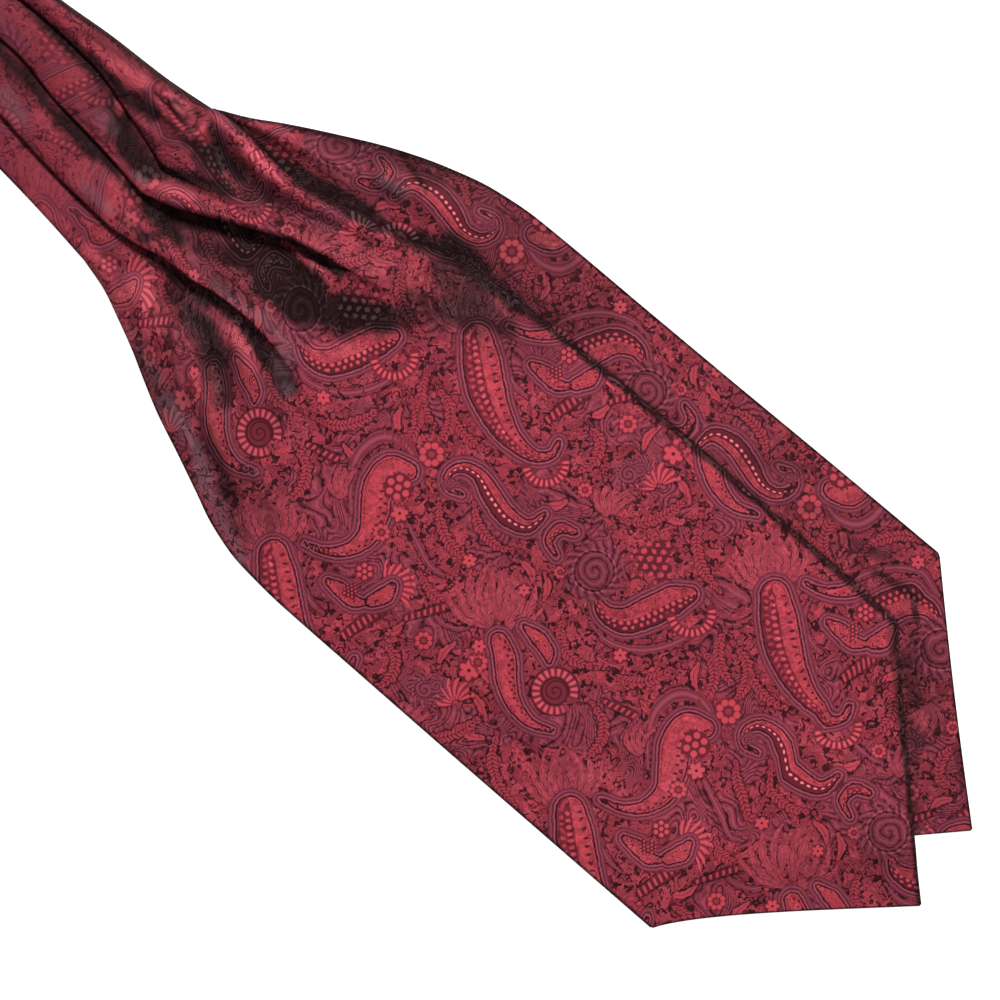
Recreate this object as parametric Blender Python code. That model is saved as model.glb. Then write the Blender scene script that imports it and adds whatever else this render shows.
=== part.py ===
"""Silk cravat, folded in half at the neck and laid flat.

Two pointed blades lie on each other, the front one shifted a little to the lower left.
The neck of each is set in knife pleats, which open into soft folds where they are
released.  +X runs from the neck towards the points, +Y towards the side where the back
blade shows, +Z up from the surface.  Tables are in millimetres on the lay-out plan;
the last step moves the plan's middle to the origin.
"""
import math

import bmesh
import bpy
import numpy as np

for ob in list(bpy.data.objects):
    bpy.data.objects.remove(ob, do_unlink=True)

# ---------------------------------------------------------------- driving sizes (mm)
MM = 0.001
CLOTH = 1.2            # wall of the self-faced silk
GAP = 0.3              # clearance between pieces that touch
PITCH = CLOTH + GAP    # one layer on the next
HALF = CLOTH / 2.0

NECK_END = -364.4      # the far end of the turn at the middle of the neck
FOLD_START = -356.0    # where the turn begins
RELEASE = -182.0       # where the pleats are let go
POINT_F = 225.6        # the front blade's point, along the length
POINT_FY = -12.0       # and across
POINT_B = 221.4        # the back blade's point
POINT_BY = 22.9
BACK_STACK = 3.6       # height of the back neck's pleated layers
PLAN_X = 69.4          # plan middle to origin
PLAN_Y = -4.6

# ------------------------------------------------------------- edges: x, y (mm)
FRONT_RIGHT = [(-182, 41.8), (-170, 42.6), (-158, 41.9), (-146, 41.3), (-134, 42.4),
               (-122, 45.6), (-107, 48.6), (-92, 52.6), (-77, 57.8), (-53, 61.8),
               (-31, 63.2), (0, 64.2), (30, 65.0), (146.4, 65.0)]
FRONT_LEFT = [(-182, -35.6), (-170, -38.8), (-158, -44.0), (-146, -49.5), (-134, -55.6),
              (-122, -61.6), (-107, -67.8), (-92, -74.2), (-77, -80.5), (-60, -84.6),
              (-35, -86.2), (0, -86.4), (60, -86.6), (153.4, -86.6)]
BACK_RIGHT = [(-182, 43.0), (-170, 48.7), (-160, 54.4), (-140, 65.6), (-120, 75.8),
              (-100, 83.7), (-80, 89.2), (-60, 91.6), (0, 92.8), (40, 93.6),
              (90, 94.8), (142.2, 95.8)]
BACK_LEFT = [(-182, -32.0), (-160, -37.0), (-130, -44.0), (-100, -50.0), (-60, -53.0),
             (0, -53.5), (149.0, -53.5)]

# ------------------------------------------- the neck's pleats: lines across the plan
# x, right edge, fold 1, fold 2, fold 3, left edge, depth of the tucks, puff of the cloth
NECK = [(-356, 30.5, 19.0, 5.2, -8.2, -20.5, 9.0, 0.5),
        (-330, 31.4, 20.5, 6.0, -9.0, -22.2, 9.5, 0.7),
        (-290, 33.0, 23.0, 7.5, -10.8, -25.4, 10.0, 0.9),
        (-255, 34.4, 25.0, 7.8, -13.0, -28.6, 10.0, 1.1),
        (-230, 36.8, 23.5, 5.2, -15.6, -30.4, 9.5, 1.3),
        (-205, 38.9, 16.5, 2.8, -17.6, -32.8, 7.0, 1.4),
        (-182, 41.6, 10.5, -0.6, -18.3, -35.6, 5.0, 1.2)]

# ------------------------------------ the front blade's folds, from the right to the left
# columns: x, roll by the edge, pocket, shoulder, fold A, trough A, hollow, fold B,
#          trough B, low ridge, trough C
FOLD_Y = [(-182, 38.3, 30.0, 14.0, -0.6, -4.0, -10.5, -18.0, -21.0, -26.0, -31.0),
          (-170, 39.2, 29.0, 15.5, 4.3, 0.3, -9.0, -16.8, -21.0, -27.5, -33.5),
          (-158, 38.0, 29.0, 18.0, 9.5, 4.6, -5.5, -13.4, -18.5, -27.5, -36.0),
          (-146, 37.4, 29.5, 21.0, 14.6, 9.0, -2.0, -12.2, -17.5, -25.5, -35.0),
          (-134, 38.3, 32.0, 25.0, 19.8, 13.6, 1.0, -9.0, -16.0, -22.5, -31.0),
          (-122, 41.0, 36.0, 30.0, 24.8, 17.5, 5.0, -7.6, -16.5, -23.5, -31.5),
          (-107, 44.6, 40.0, 35.0, 29.8, 20.5, 7.0, -12.0, -19.0, -27.5, -37.5),
          (-92, 48.0, 43.5, 39.0, 33.5, 23.0, 7.0, -19.5, -28.0, -38.0, -50.0),
          (-77, 52.0, 46.5, 41.0, 34.5, 23.0, 5.0, -24.0, -34.0, -46.0, -61.0),
          (-53, 54.5, 46.0, 38.0, 29.0, 17.0, 2.0, -24.0, -37.0, -50.0, -66.0),
          (-20, 54.0, 43.0, 32.0, 20.0, 8.0, -6.0, -24.0, -39.0, -54.0, -70.0)]
# height of the same lines over what the cloth rests on
FOLD_Z = [(-182, 3.6, 1.2, 2.4, 4.6, 0.8, 1.2, 3.8, 0.3, 1.2, 0.8),
          (-170, 5.0, 0.6, 2.4, 6.2, 0.6, 1.4, 5.0, 0.3, 1.8, 0.8),
          (-158, 5.6, 0.4, 2.8, 7.2, 0.6, 1.2, 5.6, 0.3, 2.6, 0.8),
          (-146, 5.4, 0.8, 3.2, 7.8, 0.6, 0.6, 5.8, 0.3, 3.2, 0.6),
          (-134, 4.4, 1.6, 3.6, 7.8, 0.8, 0.3, 5.6, 0.3, 3.4, 0.4),
          (-122, 3.2, 2.0, 3.6, 7.2, 1.0, 0.2, 5.2, 0.3, 3.2, 0.4),
          (-107, 2.2, 1.8, 3.0, 6.0, 1.0, 0.2, 4.4, 0.4, 2.8, 0.4),
          (-92, 1.4, 1.2, 2.2, 4.4, 1.0, 0.4, 3.2, 0.4, 2.0, 0.4),
          (-77, 0.8, 0.8, 1.4, 2.8, 0.8, 0.4, 2.0, 0.3, 1.2, 0.2),
          (-53, 0.2, 0.2, 0.5, 1.0, 0.3, 0.2, 0.8, 0.1, 0.4, 0.1),
          (-20, 0.0, 0.0, 0.0, 0.0, 0.0, 0.0, 0.0, 0.0, 0.0, 0.0)]

SILK = {
    "front_blade": (0.235, 0.016, 0.036),
    "front_pleat_1": (0.250, 0.018, 0.038),
    "front_pleat_2": (0.225, 0.015, 0.034),
    "front_pleat_3": (0.240, 0.016, 0.037),
    "front_pleat_4": (0.220, 0.015, 0.034),
    "back_blade": (0.190, 0.013, 0.030),
    "back_neck": (0.150, 0.011, 0.025),
    "neck_fold": (0.200, 0.014, 0.032),
}


# ------------------------------------------------------------------------- helpers
def smooth_line(rows, x, column=1):
    """A value from one column of a table, by a monotone cubic through its rows."""
    xs = np.array([r[0] for r in rows], float)
    ys = np.array([r[column] for r in rows], float)
    x = min(max(x, xs[0]), xs[-1])
    h = np.diff(xs)
    d = np.diff(ys) / h
    m = np.zeros(len(xs))
    m[0], m[-1] = d[0], d[-1]
    for k in range(1, len(xs) - 1):
        if d[k - 1] * d[k] > 0:
            w1 = 2 * h[k] + h[k - 1]
            w2 = h[k] + 2 * h[k - 1]
            m[k] = (w1 + w2) / (w1 / d[k - 1] + w2 / d[k])
    k = min(int(np.searchsorted(xs, x, side="right")) - 1, len(h) - 1)
    t = (x - xs[k]) / h[k]
    return ((2 * t**3 - 3 * t**2 + 1) * ys[k] + (t**3 - 2 * t**2 + t) * h[k] * m[k]
            + (-2 * t**3 + 3 * t**2) * ys[k + 1] + (t**3 - t**2) * h[k] * m[k + 1])


def step(a, b, v):
    """Soft step from 0 at a to 1 at b."""
    t = min(max((v - a) / (b - a), 0.0), 1.0)
    return t * t * (3 - 2 * t)


def outline(right, left, point_x, point_y, x):
    """The two edges of a pointed blade at a station."""
    rx, ry = right[-1]
    lx, ly = left[-1]
    end = point_x - 0.6
    x = min(x, end)
    if x <= rx:
        r = smooth_line(right, x)
    else:
        t = (x - rx) / (point_x - rx)
        r = ry + (point_y - ry) * t - 0.9 * math.sin(math.pi * t)
    if x <= lx:
        l = smooth_line(left, x)
    else:
        t = (x - lx) / (point_x - lx)
        l = ly + (point_y - ly) * t + 0.9 * math.sin(math.pi * t)
    return r, l


def offset_pair(line, half):
    """The two faces of a wall drawn along a line in the cross-section."""
    p = np.asarray(line, float)
    d = np.diff(p, axis=0)
    d /= np.linalg.norm(d, axis=1)[:, None]
    n = np.stack([d[:, 1], -d[:, 0]], axis=1)
    out = np.zeros_like(p)
    out[0], out[-1] = n[0], n[-1]
    for k in range(1, len(p) - 1):
        s = n[k - 1] + n[k]
        s /= np.linalg.norm(s)
        out[k] = s / max(float(s @ n[k]), 0.72)
    return p + out * half, p - out * half


def loft(name, stations, closed_profiles):
    """A closed solid through cross-sections that have the same number of corners.

    Each profile is a pair (upper, lower) of rows of (y, z); the ends are capped with
    quads between the two rows."""
    n = len(closed_profiles[0][0])
    verts, faces = [], []
    for x, (up, low) in zip(stations, closed_profiles):
        for row in (up, low[::-1]):
            for y, z in row:
                verts.append(((x + PLAN_X) * MM, (y + PLAN_Y) * MM, z * MM))
    ring = 2 * n
    for i in range(len(stations) - 1):
        for j in range(ring):
            a = i * ring + j
            b = i * ring + (j + 1) % ring
            faces.append((a, b, b + ring, a + ring))
    for base, flip in ((0, False), ((len(stations) - 1) * ring, True)):
        for j in range(n - 1):
            q = (base + j, base + j + 1, base + ring - 2 - j, base + ring - 1 - j)
            faces.append(q if flip else q[::-1])
    return make(name, verts, faces)


def make(name, verts, faces):
    mesh = bpy.data.meshes.new(name)
    mesh.from_pydata([tuple(v) for v in verts], [], faces)
    bm = bmesh.new()
    bm.from_mesh(mesh)
    bmesh.ops.recalc_face_normals(bm, faces=bm.faces)
    bmesh.ops.triangulate(bm, faces=bm.faces)
    if bm.calc_volume(signed=True) < 0:
        bmesh.ops.reverse_faces(bm, faces=bm.faces)
    bm.to_mesh(mesh)
    bm.free()
    mesh.shade_smooth()
    mesh.set_sharp_from_angle(angle=math.radians(50))
    ob = bpy.data.objects.new(name, mesh)
    bpy.context.scene.collection.objects.link(ob)
    mat = bpy.data.materials.new(name + "_silk")
    mat.use_nodes = True
    bsdf = mat.node_tree.nodes["Principled BSDF"]
    bsdf.inputs["Base Color"].default_value = (*SILK[name], 1.0)
    bsdf.inputs["Roughness"].default_value = 0.42
    bsdf.inputs["Metallic"].default_value = 0.0
    mesh.materials.append(mat)
    return ob


# ------------------------------------------------------------------- the back blade
def back_edges(x):
    return outline(BACK_RIGHT, BACK_LEFT, POINT_B, POINT_BY, x)


def back_line(x, columns=13):
    """The middle of the back blade's wall: flat under the front blade, with a soft
    roll and a crease in the strip that shows by the release."""
    r, l = back_edges(x)
    front_r = smooth_line(FRONT_RIGHT, x)
    show = r - front_r
    pts = []
    fade = step(-180, -165, x) * (1 - step(-95, -50, x))
    for j in range(columns):
        t = j / (columns - 1)
        # a closer spacing in the strip that shows
        t = t ** 1.35
        y = r + (l - r) * t
        z = HALF
        if show > 6 and y > front_r:
            s = (r - y) / show
            z += fade * 2.4 * math.sin(math.pi * min(s * 1.25, 1.0)) ** 2
        pts.append((y, z))
    return pts


back_x = [-181.7, -172, -162, -150, -138, -126, -114, -102, -90, -78, -66, -50, -30, 0,
          35, 70, 105, 142.2, 149, 160, 175, 190, 202, 212, 218, POINT_B - 0.6]
loft("back_blade", back_x, [offset_pair(back_line(x), HALF) for x in back_x])


# ------------------------------------------------------ what the front blade rests on
def inside_back(x, y):
    """Distance inside the back blade's outline, negative outside."""
    side = y - smooth_line(BACK_LEFT, x)
    lx, ly = BACK_LEFT[-1]
    ux, uy = POINT_B - lx, POINT_BY - ly
    norm = math.hypot(ux, uy)
    slant = ((y - ly) * ux - (x - lx) * uy) / norm
    return min(side, slant) if x > lx - 60 else side


def rest_height(x, y):
    over = step(-15.0, -3.0, inside_back(x, y))
    low = PITCH * over
    return low + (BACK_STACK + GAP - PITCH) * (1 - step(-180, -160, x))


# ------------------------------------------------------------------ the front blade
def front_edges(x):
    return outline(FRONT_RIGHT, FRONT_LEFT, POINT_F, POINT_FY, x)


def front_line(x):
    r, l = front_edges(x)
    flat_x = FOLD_Y[-1][0]
    if x <= flat_x:
        ys = [smooth_line(FOLD_Y, x, c) for c in range(1, len(FOLD_Y[0]))]
        zs = [smooth_line(FOLD_Z, x, c) for c in range(1, len(FOLD_Z[0]))]
    else:
        ys = [smooth_line(FOLD_Y, flat_x, c) for c in range(1, len(FOLD_Y[0]))]
        r0, l0 = front_edges(flat_x)
        ys = [r + (l - r) * (r0 - y) / (r0 - l0) for y in ys]
        zs = [0.0] * len(ys)
    edge_r = 0.8 * step(-182, -170, x) * (1 - step(-100, -60, x))
    ys = [r] + ys + [l]
    zs = [edge_r] + zs + [0.0]
    pts = []
    for k in range(len(ys) - 1):
        pts.append((ys[k], zs[k]))
        span = ys[k] - ys[k + 1]
        # a column between two lines, on a soft wave between their heights
        pts.append((0.5 * (ys[k] + ys[k + 1]), 0.5 * (zs[k] + zs[k + 1])
                    + 0.04 * span * (1 if zs[k] != zs[k + 1] else 0)))
    pts.append((ys[-1], zs[-1]))
    return [(y, rest_height(x, y) + HALF + z) for y, z in pts]


front_x = [-181.7, -176, -170, -164, -158, -152, -146, -140, -134, -128, -122, -114,
           -107, -99, -92, -84, -77, -65, -53, -38, -20, 10, 45, 80, 115, 146.4, 153.4,
           162, 172, 182, 192, 202, 212, 220, POINT_F - 0.6]
loft("front_blade", front_x, [offset_pair(front_line(x), HALF) for x in front_x])


# ------------------------------------------------------------------ the neck's pleats
BASE = BACK_STACK + GAP + HALF          # middle of the lowest front layer
RADIUS = PITCH / 2.0                    # of a folded edge, at the wall's middle
FOLD_CLEAR = 1.8                        # from a folded edge to where the next wall rises


def neck_row(x):
    return [smooth_line(NECK, x, c) for c in range(1, len(NECK[0]))]


def pleat_line(x, k):
    """The wall's middle in pleat k (1 to 4): it starts under its neighbour, rises over
    the next tuck, turns at its folded edge and runs back underneath."""
    right, f1, f2, f3, left, tuck, puff = neck_row(x)
    folds = [f1, f2, f3]
    tucks = [min(tuck, 0.5 * (right - f1)), tuck, tuck]
    top = BASE + 2 * PITCH
    mid = BASE + PITCH
    if k == 1:
        start = right
    else:
        start = folds[k - 2] + tucks[k - 2]
    if k < 4:
        edge = folds[k - 1]
        tuck_end = edge + tucks[k - 1]
        # how far the top layer stays low before it climbs over its own tuck
        low_until = start - 0.4 if k == 1 else folds[k - 2] - FOLD_CLEAR
        climb_to = min(tuck_end + 0.8, low_until - 1.2)
        pts = [(start, BASE)]
        if k > 1:
            pts.append((0.5 * (start + low_until), BASE))
        pts.append((low_until, BASE + 0.05))
        pts.append((0.5 * (low_until + climb_to), 0.5 * (BASE + top) + 0.3 * puff))
        pts.append((climb_to, top + 0.7 * puff))
        pts.append((0.6 * climb_to + 0.4 * edge, top + puff))
        pts.append((0.25 * climb_to + 0.75 * edge, top + 0.6 * puff))
        c_y, c_z = edge + RADIUS + HALF, mid + RADIUS
        for s in range(5):
            a = math.pi / 2 + math.pi * s / 4
            pts.append((c_y + RADIUS * math.cos(a), c_z + RADIUS * math.sin(a)))
        pts.append((0.5 * (c_y + tuck_end), mid))
        pts.append((tuck_end, mid))
    else:
        low = folds[2] - FOLD_CLEAR
        pts = [(start, BASE), (0.5 * (start + low), BASE), (low, BASE + 0.05),
               (low - 3.0, BASE + 0.5 * puff), (0.5 * (low + left), BASE + 0.8 * puff),
               (left + 3.0, BASE + 0.5 * puff), (left, BASE)]
    return pts


neck_x = [-355.7, -342, -328, -310, -290, -272, -255, -242, -230, -217, -205, -193,
          RELEASE - 0.3]
for number in (1, 2, 3, 4):
    loft("front_pleat_%d" % number, neck_x,
         [offset_pair(pleat_line(x, number), HALF) for x in neck_x])


# --------------------------------------------- the back neck: layers in one solid
def stack_profile(right, left, low, high, notch=1.2):
    """Pleated layers pressed together: rounded sides with two grooves in each."""
    lift = high - low
    levels = [0.0, 0.10, 0.28, 0.33, 0.38, 0.62, 0.67, 0.72, 0.90, 1.0]
    pull = [1.0, 0.25, 0.0, notch, 0.0, 0.0, notch, 0.0, 0.25, 1.0]
    upper = [(right - p, low + lift * v) for v, p in zip(levels, pull)]
    lower = [(left + p, low + lift * v) for v, p in zip(levels, pull)]
    return upper, lower


back_neck_x = [FOLD_START + 0.3, -330, -290, -255, -230, -205, RELEASE - 0.3]
profiles = []
for x in back_neck_x:
    row = neck_row(x)
    profiles.append(stack_profile(row[0] + 0.9, row[4] + 1.2, 0.0, BACK_STACK))
loft("back_neck", back_neck_x, profiles)


# --------------------------------------------- the turn at the middle of the neck
def neck_fold():
    right, left = neck_row(FOLD_START)[0], neck_row(FOLD_START)[4]
    width_in = 0.6
    r_mid = (BACK_STACK + 0.6) / 2.0            # radius of the stack's middle line
    reach = (FOLD_START - NECK_END) - (r_mid + BACK_STACK / 2.0)
    low_mid = BACK_STACK / 2.0
    path = [(FOLD_START, low_mid + 2 * r_mid, 0.0, 1.0),
            (FOLD_START - reach, low_mid + 2 * r_mid, 0.0, 1.0)]
    turns = 8
    for s in range(1, turns):
        a = math.pi * s / turns
        path.append((FOLD_START - reach - r_mid * math.sin(a),
                     low_mid + r_mid + r_mid * math.cos(a), -math.sin(a), math.cos(a)))
    path += [(FOLD_START - reach, low_mid, 0.0, -1.0), (FOLD_START, low_mid, 0.0, -1.0)]
    verts, faces = [], []
    half = BACK_STACK / 2.0
    upper, lower = stack_profile(right - width_in, left + width_in, -half, half)
    section = upper + lower[::-1]
    for x, z, nx, nz in path:
        for y, h in section:
            verts.append(((x + nx * h + PLAN_X) * MM, (y + PLAN_Y) * MM, (z + nz * h) * MM))
    ring = len(section)
    n = len(upper)
    for i in range(len(path) - 1):
        for j in range(ring):
            a, b = i * ring + j, i * ring + (j + 1) % ring
            faces.append((a, b, b + ring, a + ring))
    for base, flip in ((0, False), ((len(path) - 1) * ring, True)):
        for j in range(n - 1):
            q = (base + j, base + j + 1, base + ring - 2 - j, base + ring - 1 - j)
            faces.append(q if flip else q[::-1])
    make("neck_fold", verts, faces)


neck_fold()
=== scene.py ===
"""Silk cravat, folded in half at the neck and laid flat: the cloth, its folds and weave.

The front half is one sheet of self-faced silk, from the turn at the middle of the neck,
through four knife pleats that open into soft folds, to its point.  The back half lies
under it.  Tables are in millimetres on the lay-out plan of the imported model.
"""
import math

import bpy
import numpy as np
from mathutils import Matrix, Vector


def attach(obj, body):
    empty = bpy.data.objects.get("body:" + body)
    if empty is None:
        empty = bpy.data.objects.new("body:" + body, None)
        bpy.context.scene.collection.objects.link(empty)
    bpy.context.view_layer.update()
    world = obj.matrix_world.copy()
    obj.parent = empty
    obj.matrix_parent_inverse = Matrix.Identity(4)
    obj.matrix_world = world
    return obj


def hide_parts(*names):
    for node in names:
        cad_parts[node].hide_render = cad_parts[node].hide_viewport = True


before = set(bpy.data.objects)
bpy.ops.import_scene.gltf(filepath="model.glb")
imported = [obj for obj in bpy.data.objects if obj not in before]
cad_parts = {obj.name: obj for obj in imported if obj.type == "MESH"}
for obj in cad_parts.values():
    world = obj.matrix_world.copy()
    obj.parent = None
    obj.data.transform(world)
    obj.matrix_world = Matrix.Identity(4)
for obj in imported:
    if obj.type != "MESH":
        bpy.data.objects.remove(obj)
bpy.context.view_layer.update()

MM = 0.001
PLAN_X, PLAN_Y = 69.4, -4.6      # plan middle to the row's origin
THICK = 0.62                     # self-faced silk, as it lies
PITCH = 1.5                      # layer on layer in the neck
BACK_STACK = 3.6                 # the back neck's layers
GAP = 0.3
FOLD_START = -356.0
RELEASE = -182.0
POINT_F, POINT_FY = 226.2, -11.6
POINT_B, POINT_BY = 222.0, 23.4

# ---------------------------------------------------------------- edges: x, y (mm)
FRONT_RIGHT = [(-182, 41.8), (-170, 42.6), (-158, 41.9), (-146, 41.3), (-134, 42.4),
               (-122, 45.6), (-107, 48.6), (-92, 52.6), (-77, 57.8), (-53, 61.8),
               (-31, 63.2), (0, 64.2), (30, 65.0), (146.4, 65.0)]
FRONT_LEFT = [(-182, -35.2), (-170, -38.4), (-158, -43.6), (-146, -49.2), (-134, -55.6),
              (-122, -61.6), (-107, -67.8), (-92, -74.2), (-77, -80.5), (-60, -84.6),
              (-35, -86.2), (0, -86.4), (60, -86.6), (153.4, -86.6)]
BACK_RIGHT = [(-182, 42.2), (-170, 48.2), (-160, 54.4), (-140, 65.6), (-120, 75.8),
              (-100, 83.7), (-80, 89.2), (-60, 91.6), (0, 92.8), (40, 93.6),
              (90, 94.8), (142.2, 95.8)]
BACK_LEFT = [(-182, -32.0), (-160, -37.0), (-130, -44.0), (-100, -50.0), (-60, -53.0),
             (0, -53.5), (149.0, -53.5)]

# x, right edge, fold 1, fold 2, fold 3, left edge, depth of the tucks, puff of the cloth
NECK = [(-356, 30.5, 19.0, 5.2, -8.2, -20.1, 9.0, 0.4),
        (-330, 31.4, 20.5, 6.4, -9.0, -21.8, 9.5, 0.6),
        (-290, 33.0, 23.4, 8.2, -10.6, -25.0, 10.0, 0.8),
        (-255, 34.4, 25.2, 8.2, -12.4, -28.2, 10.0, 1.0),
        (-230, 36.8, 24.2, 4.3, -15.4, -29.9, 9.5, 1.2),
        (-205, 38.2, 18.6, 2.0, -17.8, -32.3, 7.0, 1.3),
        (-182, 41.0, 12.0, -1.0, -18.8, -35.2, 5.0, 1.2)]

# the front's folds past the release, from right to left.  columns: x, roll by the edge,
# pocket, shoulder, fold 1, its foot, middle 2, fold A, trough A, hollow, fold B,
# trough B, low ridge, trough C, margin roll
FOLD_Y = [
    (-182, 38.3, 31.0, 18.0, 12.0, 9.4, 5.4, -1.0, -4.0, -10.5, -18.8, -21.6, -26.0, -30.5, -33.4),
    (-170, 38.6, 29.0, 19.0, 14.2, 11.8, 8.0, 2.4, -0.6, -9.0, -17.2, -20.4, -24.0, -28.0, -34.5),
    (-158, 37.6, 29.0, 21.0, 17.5, 15.5, 12.4, 8.0, 4.2, -5.0, -14.3, -18.6, -21.5, -25.0, -36.0),
    (-146, 37.0, 29.5, 23.5, 21.0, 19.5, 17.2, 13.8, 8.6, -2.0, -13.8, -18.2, -20.8, -24.0, -38.0),
    (-134, 38.0, 32.0, 27.5, 25.5, 24.3, 22.4, 19.3, 12.8, 1.5, -11.7, -16.6, -20.6, -25.8, -40.0),
    (-122, 41.0, 36.0, 32.0, 30.2, 29.0, 27.0, 24.2, 16.6, 4.5, -11.0, -16.6, -21.6, -29.4, -44.5),
    (-107, 44.6, 40.5, 37.0, 35.2, 34.0, 31.6, 27.6, 18.5, 5.0, -12.2, -18.6, -25.8, -37.0, -49.0),
    (-92, 48.0, 44.5, 41.5, 39.8, 38.5, 35.6, 30.8, 20.0, 4.5, -15.6, -23.2, -32.0, -44.0, -56.0),
    (-77, 52.2, 48.0, 44.5, 42.5, 41.0, 38.0, 33.0, 21.0, 3.0, -20.0, -29.0, -38.5, -51.0, -63.0),
    (-53, 55.0, 48.5, 43.0, 39.5, 37.0, 34.0, 28.5, 16.0, 1.0, -23.5, -34.0, -46.0, -59.0, -72.0),
    (-20, 57.5, 49.5, 41.0, 35.0, 30.0, 25.0, 18.0, 4.0, -10.0, -28.0, -40.0, -52.0, -64.0, -76.0)]
FOLD_Z = [
    (-182, 3.6, 1.6, 3.0, 3.2, 1.0, 2.6, 4.6, 0.4, 1.4, 3.9, 0.3, 1.0, 1.0, 1.8),
    (-170, 4.8, 0.5, 2.2, 2.4, 1.6, 3.2, 5.8, 0.2, 1.6, 4.6, 0.3, 0.8, 0.8, 2.2),
    (-158, 5.4, 0.3, 2.2, 2.8, 2.8, 4.2, 6.8, 0.2, 1.6, 5.0, 0.3, 0.5, 0.5, 2.8),
    (-146, 5.2, 0.9, 2.6, 3.6, 4.0, 5.0, 7.2, 0.2, 1.4, 5.0, 0.3, 0.4, 0.3, 3.2),
    (-134, 4.2, 1.8, 3.2, 4.0, 4.6, 5.4, 7.0, 0.3, 1.2, 4.8, 0.3, 0.9, 0.3, 3.2),
    (-122, 3.2, 2.0, 3.2, 4.0, 4.4, 5.0, 6.2, 0.5, 1.0, 4.3, 0.3, 1.8, 0.3, 2.9),
    (-107, 2.4, 1.8, 2.6, 3.2, 3.4, 3.9, 4.7, 0.7, 0.8, 3.4, 0.3, 2.1, 0.3, 2.4),
    (-92, 1.7, 1.5, 1.9, 2.2, 2.4, 2.7, 3.2, 0.9, 0.7, 2.3, 0.5, 1.6, 0.4, 1.7),
    (-77, 1.0, 1.0, 1.2, 1.4, 1.5, 1.7, 2.0, 0.8, 0.5, 1.3, 0.4, 1.0, 0.4, 1.1),
    (-53, 0.3, 0.3, 0.4, 0.5, 0.5, 0.6, 0.8, 0.5, 0.3, 0.5, 0.2, 0.4, 0.2, 0.4),
    (-20, 0.0, 0.0, 0.0, 0.0, 0.0, 0.0, 0.0, 0.0, 0.0, 0.0, 0.0, 0.0, 0.0, 0.0)]

# small creases of the front cloth: x0, y0, x1, y1, half width, height (mm)
CREASES = [(-213, 23.0, -203, 25.0, 1.6, -1.0),
           (-204, 31.4, -182, 28.4, 1.1, -1.5),
           (-203, 33.6, -184, 31.2, 1.0, 0.7),
           (-203, 29.4, -184, 26.6, 1.1, 0.7),
           (-192, 37.0, -181, 34.4, 0.9, -0.8),
           (-212, 19.4, -182, 20.4, 1.8, 1.2),
           (-206, 22.6, -190, 24.0, 1.8, -0.9),
           (-187, 10.0, -163, 16.0, 1.4, -1.2),
           (-178, 13.0, -158, 21.0, 1.8, -0.9),
           (-182, 5.5, -158, 14.0, 1.8, 0.6),
           (-129, 21.6, -102, 26.9, 1.3, -1.8),
           (-128, 19.6, -100, 22.6, 1.4, 1.5),
           (-172, 2.0, -163, -5.0, 2.2, -0.8),
           (-164, -2.0, -172, -15.0, 1.8, -0.8),
           (-126, -15.4, -114, -29.0, 1.5, -1.3),
           (-122, -16.0, -104, -26.0, 3.0, 0.9),
           (-119, -49.5, -82, -63.0, 2.2, -1.1),
           (-120, -54.5, -84, -72.0, 3.0, 0.8),
           (-122, -40.0, -96, -50.0, 2.6, 0.5),
           (-104, -20.0, -70, -42.0, 4.5, 0.4),
           (-150, -16.5, -108, -19.5, 1.2, -0.5),
           (-250, 14.0, -205, 9.0, 3.0, 0.4),
           (-262, -3.0, -200, -8.0, 3.5, 0.4),
           (-300, 29.0, -262, 30.0, 2.0, 0.4),
           (-70, 30.0, 20, 12.0, 9.0, 0.3),
           (-40, -62.0, 60, -70.0, 10.0, 0.3),
           (60, 40.0, 150, 30.0, 12.0, 0.3),
           (110, -40.0, 190, -20.0, 12.0, 0.35)]
BACK_CREASES = [(-172, 47.0, -128, 58.0, 2.6, 1.0),
                (-119, 76.5, -98, 68.5, 1.8, -0.9),
                (-112, 74.0, -93, 66.0, 2.0, 0.8),
                (-150, 57.0, -112, 66.0, 3.0, -0.7),
                (-110, 58.0, -50, 74.0, 5.0, 0.5),
                (150, 78.0, 205, 24.0, 4.0, 0.7),
                (160, 60.0, 205, 22.0, 3.0, -0.5)]


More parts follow.
